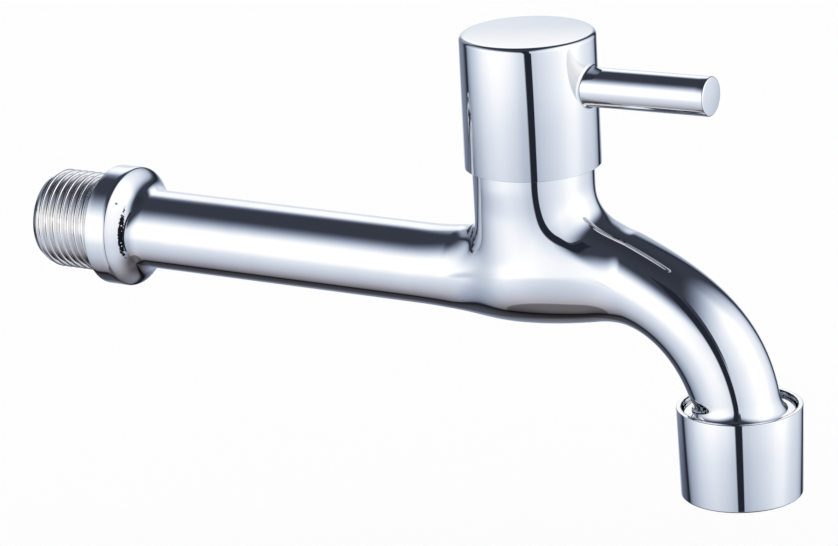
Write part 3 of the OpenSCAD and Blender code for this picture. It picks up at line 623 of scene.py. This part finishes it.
def addNode(tree, kind, inputs=(), **settings):
    node = tree.nodes.new("ShaderNode" + kind)
    for name, value in settings.items():
        setattr(node, name, value)
    for key, value in dict(inputs).items():
        setOrLink(tree, node.inputs[key], value)
    return node


def mathNode(tree, operation, *values, clamp=False):
    node = addNode(tree, "Math", dict(enumerate(values)), operation=operation, use_clamp=clamp)
    return node.outputs[0]


def times(tree, a, b):
    return mathNode(tree, "MULTIPLY", a, b)


def vectorNode(tree, operation, *values):
    node = addNode(tree, "VectorMath", dict(enumerate(values)), operation=operation)
    return node.outputs["Value"] if operation == "LENGTH" else node.outputs["Vector"]


def splitVector(tree, vector):
    return addNode(tree, "SeparateXYZ", {0: vector}).outputs


def rangeNode(tree, value, low, high, outLow=0.0, outHigh=1.0):
    inputs = {"Value": value, "From Min": low, "From Max": high, "To Min": outLow, "To Max": outHigh}
    return addNode(tree, "MapRange", inputs, interpolation_type="SMOOTHSTEP").outputs["Result"]


def mixValue(tree, factor, a, b):
    rest = mathNode(tree, "SUBTRACT", 1.0, factor)
    return mathNode(tree, "ADD", times(tree, a, rest), times(tree, b, factor))


def mixColour(tree, factor, a, b):
    a, b = ((*colour, 1) if isinstance(colour, tuple) else colour for colour in (a, b))
    return addNode(tree, "Mix", {0: factor, 6: a, 7: b}, data_type="RGBA").outputs[2]


def mixShader(tree, factor, a, b):
    return addNode(tree, "MixShader", {0: factor, 1: a.outputs[0], 2: b.outputs[0]}).outputs[0]


def noiseNode(tree, vector, scale, detail=2.0, roughness=0.5):
    inputs = {"Vector": vector, "Scale": scale, "Detail": detail, "Roughness": roughness}
    return addNode(tree, "TexNoise", inputs).outputs[0]


def patchMask(tree, vector, scale, detail, roughness, *levels):
    # Patches where the noise is above the levels; given in the finishes as all that follows the vector
    return rangeNode(tree, noiseNode(tree, vector, scale, detail, roughness), *levels)


def cellNode(tree, vector, scale, feature="F1"):
    return addNode(tree, "TexVoronoi", {"Vector": vector, "Scale": scale}, feature=feature).outputs


def newGroup(name, output, **inputs):
    tree = bpy.data.node_groups.new(name, "ShaderNodeTree")
    for label, value in {"Vector": (0, 0, 0), **inputs}.items():
        kind = "NodeSocketVector" if isinstance(value, tuple) else "NodeSocketFloat"
        tree.interface.new_socket(name=label, in_out="INPUT", socket_type=kind).default_value = value
    tree.interface.new_socket(name=output, in_out="OUTPUT", socket_type="NodeSocketFloat")
    return tree, tree.nodes.new("NodeGroupInput").outputs, tree.nodes.new("NodeGroupOutput").inputs[0]


def useGroup(tree, group, vector, **values):
    return addNode(tree, "Group", {"Vector": vector, **values}, node_tree=group).outputs[0]


# Effects that several finishes share

effects = {
    # A patch is its noise's detail and roughness, the levels where it starts and is full, and its range
    "hazePatch": (3, 0.5, 0.42, 0.68), "hazeDrawn": (1, 0.2, 0.6), "hazeWiped": (2, 0.5, 0.3, 0.7, 0.25, 1),
    "hairDrawn": (1, 0.05, 0.35), "hairEdge": (0.002, 0.012, 1, 0), "hairPatch": 0.7, "hairStart": 0.75,
    "hairSoft": 0.08, "dotSoft": 0.6, "tornNoise": (3, 0.65), "tornEdge": (0.92, 1.08, 1, 0), "wireDip": 0.25,
}


def buffHazeGroup():
    tree, given, result = newGroup("buffHaze", "Haze", Scale=50.0, Streak=5.0)
    broad = patchMask(tree, given["Vector"], given["Scale"], *effects["hazePatch"])
    drawn = vectorNode(tree, "MULTIPLY", given["Vector"], effects["hazeDrawn"])
    wiped = patchMask(tree, drawn, times(tree, given["Scale"], given["Streak"]), *effects["hazeWiped"])
    tree.links.new(times(tree, broad, wiped), result)
    return tree


def hairLinesGroup():
    tree, given, result = newGroup("hairLines", "Lines", Scale=200.0, Amount=0.3)
    drawn = vectorNode(tree, "MULTIPLY", given["Vector"], effects["hairDrawn"])
    edge = cellNode(tree, drawn, given["Scale"], "DISTANCE_TO_EDGE")["Distance"]
    thin = rangeNode(tree, edge, *effects["hairEdge"])
    patch = noiseNode(tree, given["Vector"], times(tree, given["Scale"], effects["hairPatch"]))
    start = mathNode(tree, "SUBTRACT", effects["hairStart"], times(tree, given["Amount"], 0.5))
    shown = rangeNode(tree, patch, start, mathNode(tree, "ADD", start, effects["hairSoft"]))
    tree.links.new(times(tree, thin, shown), result)
    return tree


def pinDotsGroup():
    tree, given, result = newGroup("pinDots", "Dots", Scale=300.0, Size=0.08, Amount=0.1)
    cells = cellNode(tree, given["Vector"], given["Scale"])
    chance = addNode(tree, "SeparateColor", {0: cells["Color"]}).outputs
    chosen = mathNode(tree, "LESS_THAN", chance[0], given["Amount"])
    wide = times(tree, given["Size"], mathNode(tree, "ADD", chance[1], 0.5))
    dot = rangeNode(tree, cells["Distance"], times(tree, wide, effects["dotSoft"]), wide, 1, 0)
    tree.links.new(times(tree, dot, chosen), result)
    return tree


def turnedLinesGroup():
    # Lathe lines round the Z axis of the given place
    tree, given, result = newGroup("turnedLines", "Height", Pitch=2500.0)
    out = vectorNode(tree, "LENGTH", vectorNode(tree, "MULTIPLY", given["Vector"], (1, 1, 0)))
    along = mathNode(tree, "ADD", out, splitVector(tree, given["Vector"])[2])
    inputs = {"W": times(tree, along, given["Pitch"]), "Scale": 1}
    tree.links.new(addNode(tree, "TexNoise", inputs, noise_dimensions="1D").outputs[0], result)
    return tree


def raggedShadeMaskGroup():
    # A patch with a torn edge, round the given centre; it masks the painted shade on the chrome
    tree, given, result = newGroup(
        "raggedShadeMask", "Mask", Place=(0, 0, 0), Centre=(0, 0, 0), Size=(mm, mm, mm), Grain=900.0, Ragged=1.0
    )
    away = vectorNode(tree, "SUBTRACT", given["Place"], given["Centre"])
    away = vectorNode(tree, "LENGTH", vectorNode(tree, "DIVIDE", away, given["Size"]))
    torn = noiseNode(tree, given["Vector"], given["Grain"], *effects["tornNoise"])
    torn = times(tree, mathNode(tree, "SUBTRACT", torn, 0.5), given["Ragged"])
    tree.links.new(rangeNode(tree, mathNode(tree, "ADD", away, torn), *effects["tornEdge"]), result)
    return tree


def wovenWireGroup():
    # Wires that pass over and under each other, square to X and Y
    tree, given, result = newGroup("wovenWire", "Height", Pitch=mm / 2)
    turns = [
        times(tree, mathNode(tree, "DIVIDE", value, given["Pitch"]), math.pi)
        for value in splitVector(tree, given["Vector"])[:2]
    ]
    dip = effects["wireDip"]
    ridges = [mathNode(tree, "ABSOLUTE", mathNode(tree, "SINE", turn)) for turn in turns]
    waves = [times(tree, mathNode(tree, "COSINE", turn), dip) for turn in turns]
    over = [mathNode(tree, "ADD", wave, 1 - dip) for wave in waves]
    wires = [times(tree, ridges[0], over[1]), times(tree, ridges[1], over[0])]
    tree.links.new(mathNode(tree, "MAXIMUM", *wires), result)
    return tree


buffHaze, hairLines, pinDots = buffHazeGroup(), hairLinesGroup(), pinDotsGroup()
turnedLines, raggedShadeMask, wovenWire = turnedLinesGroup(), raggedShadeMaskGroup(), wovenWireGroup()


# Finishes

def newMaterial(name):
    material = bpy.data.materials.new(name)
    material.use_nodes = True
    return material, material.node_tree


def objectPlace(tree, centre=(0, 0, 0), turn=(0, 0, 0)):
    inputs = {
        "Vector": addNode(tree, "TexCoord").outputs["Object"],
        "Location": [value * mm for value in centre],
        "Rotation": [math.radians(value) for value in turn],
    }
    return addNode(tree, "Mapping", inputs, vector_type="TEXTURE").outputs[0]


def finishShader(material, colour, rough, height, depth, metal=1):
    tree = material.node_tree
    shader = tree.nodes["Principled BSDF"]
    bump = addNode(tree, "Bump", {"Distance": depth, "Height": height}).outputs[0]
    for name, value in (("Base Color", colour), ("Roughness", rough), ("Metallic", metal), ("Normal", bump)):
        setOrLink(tree, shader.inputs[name], value)
    return material


chromeLook = {
    "colour": (0.80, 0.805, 0.812), "hazeColour": (0.765, 0.772, 0.787), "edgeOn": (0.90, 0.90, 0.90, 1),
    "polish": 0.028, "hazeRoughness": 0.05, "scratchRoughness": 0.12, "haze": {"Scale": 42.0, "Streak": 6.0},
    "wave": (62.0, 1.5, 0.4), "castDepth": 1.6e-5, "turnedDepth": 0.9e-5,
    "scratches": {"Scale": 150.0, "Amount": 0.22}, "dots": {"Scale": 260.0, "Size": 0.055, "Amount": 0.05},
    # Near-black painted shade for the dark patches in the junctions, and the roughness there
    "paintedShadeColour": (0.012, 0.012, 0.016), "paintedShadeRoughness": 0.35,
    "glints": {"Scale": 2300.0, "Size": 0.3, "Amount": 0.3},
}

# Painted dark reflection and shade: near-black ragged patches where the flange's shoulder meets the tube and
# at the boss's root
# Places on the tube are (x, out from its axis on the camera's side, z), and on the collar (out, 0, z)
tubeShadePatches = (
    {"centre": (7.45, 9.8, 0.9), "size": (0.55, 0.75, 5.0), "grain": 1700.0, "ragged": 1.5},
    {"centre": (88.9, 9.95, 9.5), "size": (0.75, 0.7, 0.75), "grain": 1300.0, "ragged": 3.0},
    {"centre": (90.9, 11.1, 9.6), "size": (0.6, 0.8, 1.1), "grain": 1300.0, "ragged": 3.0},
)
# Painted shadow of the gap at the collar's inner rim, as a near-black ragged patch
collarShadePatches = ({"centre": (11.46, 0, -21.26), "size": (0.2, 1, 0.26), "grain": 800.0, "ragged": 1.9},)


def roundTube(tree, place):
    # Place along the tube, distance from its axis, counted below zero on the far side, and height
    x, y, z = splitVector(tree, place)
    out = vectorNode(tree, "LENGTH", vectorNode(tree, "MULTIPLY", place, (0, 1, 1)))
    near = mathNode(tree, "SIGN", times(tree, y, -1.0))
    return addNode(tree, "CombineXYZ", {0: x, 1: times(tree, out, near), 2: z}).outputs[0]


def roundCollar(tree, place):
    # Distance from the collar's axis, nothing, height
    upright = vectorNode(tree, "SUBTRACT", place, (outletX * mm, 0, 0))
    out = vectorNode(tree, "LENGTH", vectorNode(tree, "MULTIPLY", upright, (1, 1, 0)))
    return addNode(tree, "CombineXYZ", {0: out, 2: splitVector(tree, place)[2]}).outputs[0]


def chromeFinish(name, depth, shadePatches=(), around=None):
    d = chromeLook
    material, tree = newMaterial(name)
    place = objectPlace(tree)
    haze = useGroup(tree, buffHaze, place, **d["haze"])
    lines = useGroup(tree, hairLines, place, **d["scratches"])
    dots = useGroup(tree, pinDots, place, **d["dots"])
    colour = mixColour(tree, haze, d["colour"], d["hazeColour"])
    rough = mixValue(tree, haze, d["polish"], d["hazeRoughness"])
    rough = mixValue(tree, mathNode(tree, "MAXIMUM", lines, dots), rough, d["scratchRoughness"])
    if shadePatches:
        ring = around(tree, place)
        dark = mathNode(tree, "SUBTRACT", 1.0, useGroup(tree, pinDots, place, **d["glints"]))
    # Each patch paints near-black shade into the chrome's colour and raises its roughness; the glint dots
    # leave the chrome showing through
    for shadePatch in shadePatches:
        mask = useGroup(
            tree, raggedShadeMask, place, Place=ring, Centre=tuple(v * mm for v in shadePatch["centre"]),
            Size=tuple(v * mm for v in shadePatch["size"]), Grain=shadePatch["grain"], Ragged=shadePatch["ragged"],
        )
        mask = times(tree, mask, dark)
        colour = mixColour(tree, mask, colour, d["paintedShadeColour"])
        rough = mixValue(tree, mask, rough, d["paintedShadeRoughness"])
    tree.nodes["Principled BSDF"].inputs["Specular Tint"].default_value = d["edgeOn"]
    return finishShader(material, colour, rough, noiseNode(tree, place, *d["wave"]), depth)


threadLook = {
    # The root colour is the painted shade in the groove roots, and also the colour of the dark dots
    "crest": (0.87, 0.86, 0.85), "root": (0.24, 0.22, 0.215), "mottle": (0.82, 0.805, 0.795),
    "roughness": (0.09, 0.16), "torn": (260.0, 3, 0.6, 0.34, 0.6), "rootStart": 0.04, "rootEnd": 0.16,
    "dots": {"Scale": 900.0, "Size": 0.2, "Amount": 0.05}, "dotShade": 0.7,
    "cutPitch": 5200.0, "cutDepth": 1.5e-6,
}


def threadFinish():
    # Cut metal: bright crests, and painted shade that darkens the root of each groove
    d = threadLook
    material, tree = newMaterial("threadChrome")
    place = objectPlace(tree)
    turned = objectPlace(tree, turn=(0, 90, 0))
    radius = vectorNode(tree, "LENGTH", vectorNode(tree, "MULTIPLY", place, (0, 1, 1)))
    rootR = inletThread["r"] - inletThread["depth"]
    # Painted shade: darker towards the groove roots, inside the mottled patches
    grooveShade = rangeNode(tree, radius, (rootR + d["rootStart"]) * mm, (rootR + d["rootEnd"]) * mm, 1, 0)
    grooveShade = times(tree, grooveShade, mathNode(tree, "GREATER_THAN", radius, (rootR - d["rootStart"]) * mm))
    torn = patchMask(tree, place, *d["torn"])
    spots = useGroup(tree, pinDots, place, **d["dots"])
    colour = mixColour(tree, torn, d["crest"], d["mottle"])
    colour = mixColour(tree, times(tree, grooveShade, torn), colour, d["root"])
    colour = mixColour(tree, times(tree, spots, d["dotShade"]), colour, d["root"])
    lines = useGroup(tree, turnedLines, turned, Pitch=d["cutPitch"])
    return finishShader(material, colour, mixValue(tree, torn, *d["roughness"]), lines, d["cutDepth"])


brassLook = {
    "colour": (0.72, 0.58, 0.30), "dull": (0.52, 0.39, 0.20), "roughness": (0.16, 0.38),
    "dullPatch": (120.0, 4, 0.6, 0.4, 0.72), "pitch": 3200.0, "depth": 1.2e-5,
    "scratches": {"Scale": 260.0, "Amount": 0.5}, "scratchShade": 0.6,
}


def brassFinish():
    # Turned on a lathe, a little tarnished
    d = brassLook
    material, tree = newMaterial("turnedBrass")
    place = objectPlace(tree, (stemX, 0, 0))
    dull = patchMask(tree, place, *d["dullPatch"])
    lines = useGroup(tree, turnedLines, place, Pitch=d["pitch"])
    scratches = times(tree, useGroup(tree, hairLines, place, **d["scratches"]), d["scratchShade"])
    colour = mixColour(tree, mathNode(tree, "MAXIMUM", dull, scratches), d["colour"], d["dull"])
    rough = mixValue(tree, times(tree, lines, dull), *d["roughness"])
    return finishShader(material, colour, rough, lines, d["depth"])


steelLook = {
    "colour": (0.60, 0.61, 0.63), "dark": (0.40, 0.405, 0.42), "roughness": (0.2, 0.42),
    "brush": (0.08, 1, 1), "brushScale": 3000.0, "brushLevels": (0.35, 0.7), "depth": 6e-6,
    "scratches": {"Scale": 400.0, "Amount": 0.6}, "wornPatch": (400.0, 3, 0.5, 0.4, 0.7),
    "meshPitch": 0.55, "meshTurn": 45, "wireLevels": (0.45, 0.75), "meshDepth": 1.2e-4,
    # Painted shade for the gaps between the wires
    "gapShadeColour": (0.05, 0.052, 0.056),
}


def steelFinish():
    # Stamped strip, brushed along its length
    d = steelLook
    material, tree = newMaterial("brushedSteel")
    place = objectPlace(tree)
    brushed = noiseNode(tree, vectorNode(tree, "MULTIPLY", place, d["brush"]), d["brushScale"])
    scratches = useGroup(tree, hairLines, place, **d["scratches"])
    shade = rangeNode(tree, brushed, *d["brushLevels"])
    colour = mixColour(tree, mathNode(tree, "MAXIMUM", shade, scratches), d["colour"], d["dark"])
    height = mathNode(tree, "SUBTRACT", brushed, scratches)
    return finishShader(material, colour, mixValue(tree, shade, *d["roughness"]), height, d["depth"])


def wovenFinish():
    # Woven wire: bright ridges, and painted shade in the gaps between the wires
    d = steelLook
    material, tree = newMaterial("wovenSteel")
    place = objectPlace(tree, (outletX, 0, 0), (0, 0, d["meshTurn"]))
    weave = useGroup(tree, wovenWire, place, Pitch=d["meshPitch"] * mm)
    worn = patchMask(tree, place, *d["wornPatch"])
    metal = mixColour(tree, worn, d["colour"], d["dark"])
    colour = mixColour(tree, rangeNode(tree, weave, *d["wireLevels"]), d["gapShadeColour"], metal)
    return finishShader(material, colour, mixValue(tree, worn, *d["roughness"]), weave, d["meshDepth"])


ceramicLook = {
    "colour": (0.90, 0.89, 0.86), "shade": (0.80, 0.785, 0.745), "roughness": (0.12, 0.26),
    "cloudPatch": (90.0, 4, 0.6, 0.4, 0.75), "cloudShade": 0.6, "scratches": {"Scale": 500.0, "Amount": 0.5},
    "dots": {"Scale": 900.0, "Size": 0.14, "Amount": 0.08}, "depth": 4e-6,
}


def ceramicFinish():
    # Fired alumina, lapped flat
    d = ceramicLook
    material, tree = newMaterial("lappedCeramic")
    place = objectPlace(tree)
    cloud = patchMask(tree, place, *d["cloudPatch"])
    scratches = useGroup(tree, hairLines, place, **d["scratches"])
    dots = useGroup(tree, pinDots, place, **d["dots"])
    shade = mathNode(tree, "MAXIMUM", times(tree, cloud, d["cloudShade"]), dots)
    colour = mixColour(tree, shade, d["colour"], d["shade"])
    rough = mixValue(tree, mathNode(tree, "MAXIMUM", scratches, cloud), *d["roughness"])
    return finishShader(material, colour, rough, mathNode(tree, "ADD", scratches, dots), -d["depth"], metal=0)


rubberLook = {
    "colour": (0.026, 0.026, 0.028), "cloudColour": (0.075, 0.075, 0.078), "roughness": (0.42, 0.7),
    "drawn": (1, 1, 1), "patch": (240.0, 4, 0.6, 0.45, 0.75), "grain": (2600.0, 3), "depth": 2.5e-5,
    "dots": {"Scale": 900.0, "Size": 0.2, "Amount": 0.12}, "pits": 1.0,
}

plasticLook = {
    "colour": (0.82, 0.83, 0.84), "cloudColour": (0.745, 0.75, 0.755), "roughness": (0.3, 0.5),
    "drawn": (1, 1, 0.3), "patch": (110.0, 3, 0.6, 0.4, 0.75), "grain": (1800.0, 2), "depth": 8e-6,
    "dots": {"Scale": 420.0, "Size": 0.07, "Amount": 0.06}, "pits": 0.0,
}


def mouldedFinish(name, d):
    # Rubber with a powdery bloom and small pits, or acetal with faint flow marks
    material, tree = newMaterial(name)
    place = objectPlace(tree)
    cloud = patchMask(tree, vectorNode(tree, "MULTIPLY", place, d["drawn"]), *d["patch"])
    dots = useGroup(tree, pinDots, place, **d["dots"])
    colour = mixColour(tree, mathNode(tree, "MAXIMUM", cloud, dots), d["colour"], d["cloudColour"])
    grain = noiseNode(tree, place, *d["grain"])
    height = mathNode(tree, "SUBTRACT", grain, times(tree, dots, d["pits"]))
    return finishShader(material, colour, mixValue(tree, cloud, *d["roughness"]), height, d["depth"], metal=0)


castChrome = chromeFinish("castChrome", chromeLook["castDepth"], tubeShadePatches, roundTube)
turnedChrome = chromeFinish("turnedChrome", chromeLook["turnedDepth"])
collarChrome = chromeFinish("collarChrome", chromeLook["turnedDepth"], collarShadePatches, roundCollar)
threadChrome = threadFinish()
brass, steel, woven, ceramic = brassFinish(), steelFinish(), wovenFinish(), ceramicFinish()
rubber = mouldedFinish("mouldedRubber", rubberLook)
plastic = mouldedFinish("mouldedAcetal", plasticLook)

for obj, body, node, finish in (
    (castBody, "casting", "body", castChrome), (threadIn, "casting", "body", threadChrome),
    (threadOut, "casting", "body", turnedChrome), (capPiece, "lever", "handle", turnedChrome),
    (leverPiece, "lever", "handle", turnedChrome), (collarPiece, "collar", "outlet_collar", collarChrome),
):
    obj.data.materials.clear()
    obj.data.materials.append(finish)
    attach(obj, body)
    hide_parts(node)

for finish, nodes in (
    (brass, ("headwork_housing", "spindle")),
    (rubber, ("headwork_o_ring", "spindle_o_ring_upper", "spindle_o_ring_lower", "seat_seal",
              "aerator_washer")),
    (steel, ("handle_screw", "retaining_clip", "stop_ring")),
    (woven, ("aerator_inlet_screen", "aerator_fine_mesh")),
    (ceramic, ("moving_disc", "fixed_disc")),
    (plastic, ("thrust_washer", "seal_backing_ring", "aerator_cage", "aerator_diffuser",
               "aerator_outlet_grid")),
):
    for name in nodes:
        for slot in frame["nodes"][name].material_slots:
            slot.material = finish
print("finishes made")


# Studio

viewer = {
    "azimuth": 31.61, "elevation": 17.54, "roll": -3.183, "place": (488.37, -672.13, 247.04),
    "lens": 173.782, "sensor": 36.0, "near": 10.0, "far": 20000.0,
}

studio = {
    # Directions are degrees to the left of the line of sight, then degrees up; levels run from 0 to 255
    "right": (
        (-180, 192), (-172, 197), (-165, 206), (-150, 217), (-126, 235), (-120, 241), (-112, 245),
        (-102, 247), (-96, 243), (-90, 235), (-84, 228), (-78, 222), (-60, 211), (-54, 204), (-48, 193),
        (-42, 174), (-39, 154), (-37, 122), (-35, 84), (-32, 50), (-28, 38), (-26, 66), (-24, 110),
        (-21, 160), (-12, 220), (0, 236),
    ),
    "left": (
        (0, 236), (10, 227), (15, 196), (19, 150), (24, 148), (34, 137), (41, 122), (45, 95), (48, 62),
        (51, 44), (53, 52), (55, 98), (57, 132), (60, 152), (64, 167), (68, 179), (86, 212), (92, 221),
        (98, 228), (112, 238), (120, 240), (128, 239), (144, 229), (152, 222), (164, 204), (172, 198),
        (180, 192),
    ),
    "rightFade": (
        (-90, 84), (-68, 88), (-64, 98), (-58, 124), (-50, 164), (-42, 198), (-34, 216), (-22, 227),
        (-15, 239), (-5, 250), (2, 255),
    ),
    "leftFade": (
        (-90, 98), (-68, 98), (-64, 104), (-62, 156), (-52, 180), (-45, 192), (-37, 203), (-28, 214),
        (-22, 222), (-15, 240), (-8, 253), (0, 255),
    ),
    "backFade": (
        (-90, 60), (-70, 72), (-60, 98), (-45, 124), (-30, 153), (-23, 171), (-17, 217), (-12, 222), (7, 222),
        (13, 230), (17.5, 250), (22, 255),
    ),
    "rightSide": (-34, -26, 1, 0), "leftSide": (44, 52),  # where the back of the room passes into its sides
    "raise": 1.09,
    "ceiling": ((-90, 62), (50, 62), (62, 60), (90, 50)),
    "leftTop": (100, 0.28, 1.55), "rightTop": (-118, 0.72, 2.97), "backTop": (5, 0.66, 1.38),
    "leastFacing": 0.04,
    "tint": (
        (0.0, (0.84, 0.92, 1.32)), (0.35, (0.80, 0.93, 1.31)), (0.65, (0.84, 0.965, 1.20)),
        (0.87, (0.93, 0.99, 1.09)), (0.96, (0.985, 0.995, 1.02)), (1.0, (1.0, 1.0, 1.0)),
    ),
    "under": (1.08, 0.98, 1.02), "underFrom": (-30, -70, 0, 0.8),
    "contrast": 2.2, "strength": 1.3,
}

stripCard = {
    # The middle of the dark gap is upright below and leans in two soft bends above
    "x": 290.0, "y": -320.0, "low": -420.0, "high": 430.0, "steps": 61,
    "bends": ((-60.0, -0.186), (150.0, 0.086)), "bendSoft": 36.0,
    "width": 100.0, "softLeft": 18.0, "softRight": 10.0, "colour": (0.0152, 0.0178, 0.0283, 1),
}

studioFloor = {
    "size": 8000.0, "place": (60.0, 0.0, -120.0), "colour": (0.93, 0.93, 0.93, 1), "roughness": 0.9,
    "lift": 0.07,
}


def rampNode(tree, value, stops):
    ramp = addNode(tree, "ValToRGB", {0: value})
    elements = ramp.color_ramp.elements
    elements.remove(elements[0])
    for n, (at, colour) in enumerate(stops):
        element = elements[0] if n == 0 else elements.new(at)
        element.position = at
        element.color = (*colour, 1)
    return ramp.outputs[0]


def levelRamp(tree, value, stops, low, high):
    share = mathNode(tree, "DIVIDE", mathNode(tree, "SUBTRACT", value, float(low)), float(high - low))
    return rampNode(tree, share, [((at - low) / (high - low), (level / 255,) * 3) for at, level in stops])


def panelTop(tree, azimuth, tangent, panel):
    # The top edge of a flat panel falls away to the sides
    centre, low, high = panel
    turned = mathNode(tree, "RADIANS", mathNode(tree, "SUBTRACT", azimuth, float(centre)))
    facing = mathNode(tree, "MAXIMUM", mathNode(tree, "COSINE", turned), studio["leastFacing"])
    return rangeNode(tree, mathNode(tree, "DIVIDE", tangent, facing), low, high)


def buildWorld():
    world = bpy.data.worlds.new("studio")
    bpy.context.scene.world = world
    world.use_nodes = True
    tree = world.node_tree
    tree.nodes.clear()
    x, y, z = splitVector(tree, addNode(tree, "TexCoord").outputs["Generated"])
    azimuth = mathNode(tree, "DEGREES", mathNode(tree, "ARCTAN2", y, x))
    azimuth = mathNode(tree, "SUBTRACT", azimuth, viewer["azimuth"] + 90)
    azimuth = mathNode(tree, "WRAP", azimuth, 180.0, -180.0)
    elevation = mathNode(tree, "DEGREES", mathNode(tree, "ARCSINE", z))
    tangent = mathNode(tree, "TANGENT", mathNode(tree, "RADIANS", elevation))

    def byHeight(name):
        return levelRamp(tree, elevation, studio[name], -90, 90)

    def topOf(name):
        return panelTop(tree, azimuth, tangent, studio[name])

    inLeftHalf = mathNode(tree, "GREATER_THAN", azimuth, 0.0)
    rightLevel = levelRamp(tree, azimuth, studio["right"], -180, 0)
    around = mixValue(tree, inLeftHalf, rightLevel, levelRamp(tree, azimuth, studio["left"], 0, 180))
    atRight = rangeNode(tree, azimuth, *studio["rightSide"])
    atLeft = rangeNode(tree, azimuth, *studio["leftSide"])
    fade = mixValue(tree, atRight, byHeight("backFade"), byHeight("rightFade"))
    fade = mixValue(tree, atLeft, fade, byHeight("leftFade"))
    top = mixValue(tree, atRight, topOf("backTop"), topOf("rightTop"))
    top = mixValue(tree, atLeft, top, topOf("leftTop"))
    level = times(tree, times(tree, around, fade), studio["raise"])
    level = mixValue(tree, top, level, byHeight("ceiling"))
    # Low directions look at a floor that is nearly grey
    under = rangeNode(tree, elevation, *studio["underFrom"])
    colour = mixColour(tree, under, rampNode(tree, level, studio["tint"]), studio["under"])
    linear = mathNode(tree, "POWER", level, studio["contrast"])
    shown = addNode(tree, "VectorMath", {0: colour, "Scale": linear}, operation="SCALE").outputs[0]
    shine = addNode(tree, "Background", {"Color": shown, "Strength": studio["strength"]})
    plain = addNode(tree, "Background", {"Color": (1, 1, 1, 1), "Strength": 1})
    path = addNode(tree, "LightPath").outputs
    reflected = mathNode(tree, "ADD", path["Is Glossy Ray"], path["Is Transmission Ray"], clamp=True)
    addNode(tree, "OutputWorld", {0: mixShader(tree, reflected, plain, shine)})


def buildStripCard():
    # The dark gap between the two softboxes stands close to the tap, seen in reflections alone
    d = stripCard
    points = []
    for z in np.linspace(d["low"], d["high"], d["steps"]):
        x = d["x"]
        for start, lean in d["bends"]:
            x += lean * d["bendSoft"] * np.logaddexp(0, (z - start) / d["bendSoft"])
        points += [np.array([x + side * d["width"] / 2, d["y"], z]) * mm for side in (-1, 1)]
    faces = [(n, n + 1, n + 3, n + 2) for n in range(0, len(points) - 2, 2)]
    mesh = bpy.data.meshes.new("darkStrip")
    mesh.from_pydata([tuple(p) for p in points], [], faces)
    layer = mesh.uv_layers.new(name="across")
    for loop in mesh.loops:
        layer.data[loop.index].uv = (loop.vertex_index % 2, 0)
    card = bpy.data.objects.new("darkStrip", mesh)
    bpy.context.scene.collection.objects.link(card)
    material, tree = newMaterial("darkGap")
    tree.nodes.clear()
    across = splitVector(tree, addNode(tree, "UVMap").outputs[0])[0]
    fromLeft = rangeNode(tree, across, 0, d["softLeft"] / d["width"])
    fromRight = rangeNode(tree, across, 1 - d["softRight"] / d["width"], 1, 1, 0)
    clear = addNode(tree, "BsdfTransparent")
    glow = addNode(tree, "Emission", {"Color": d["colour"], "Strength": studio["strength"]})
    addNode(tree, "OutputMaterial", {0: mixShader(tree, times(tree, fromLeft, fromRight), clear, glow)})
    mesh.materials.append(material)
    card.visible_camera = False
    card.visible_diffuse = False
    card.visible_shadow = False


def buildFloor():
    d = studioFloor
    bpy.ops.object.select_all(action="DESELECT")
    bpy.ops.mesh.primitive_plane_add(size=d["size"] * mm, location=[value * mm for value in d["place"]])
    floor = bpy.context.active_object
    floor.name = "studioFloor"
    material, tree = newMaterial("paleFloor")
    shader = tree.nodes["Principled BSDF"]
    shader.inputs["Base Color"].default_value = d["colour"]
    shader.inputs["Roughness"].default_value = d["roughness"]
    shader.inputs["Emission Color"].default_value = (1, 1, 1, 1)
    lift = times(tree, addNode(tree, "LightPath").outputs["Is Camera Ray"], d["lift"])
    tree.links.new(lift, shader.inputs["Emission Strength"])
    # Seen from below, the floor is clear
    backfacing = addNode(tree, "NewGeometry").outputs["Backfacing"]
    clear = addNode(tree, "BsdfTransparent")
    surface = mixShader(tree, backfacing, shader, clear)
    tree.links.new(surface, tree.nodes["Material Output"].inputs["Surface"])
    floor.data.materials.append(material)
    floor.visible_glossy = False


def buildCamera():
    d = viewer
    azimuth, elevation, roll = (math.radians(d[name]) for name in ("azimuth", "elevation", "roll"))
    level = Vector((math.sin(azimuth), -math.cos(azimuth), 0))
    back = level * math.cos(elevation) + Vector((0, 0, math.sin(elevation)))
    right = Vector((math.cos(azimuth), math.sin(azimuth), 0))
    up = back.cross(right)
    x = right * math.cos(roll) + up * math.sin(roll)
    y = up * math.cos(roll) - right * math.sin(roll)
    data = bpy.data.cameras.new("camera")
    data.lens = d["lens"]
    data.sensor_width = d["sensor"]
    data.clip_start = d["near"] * mm
    data.clip_end = d["far"] * mm
    camera = bpy.data.objects.new("camera", data)
    bpy.context.scene.collection.objects.link(camera)
    turn = Matrix((x, y, back)).transposed().to_4x4()
    camera.matrix_world = Matrix.Translation(Vector(d["place"]) * mm) @ turn
    bpy.context.scene.camera = camera


buildWorld()
buildStripCard()
buildFloor()
buildCamera()
bpy.context.scene.view_settings.view_transform = "Standard"
print("studio made")
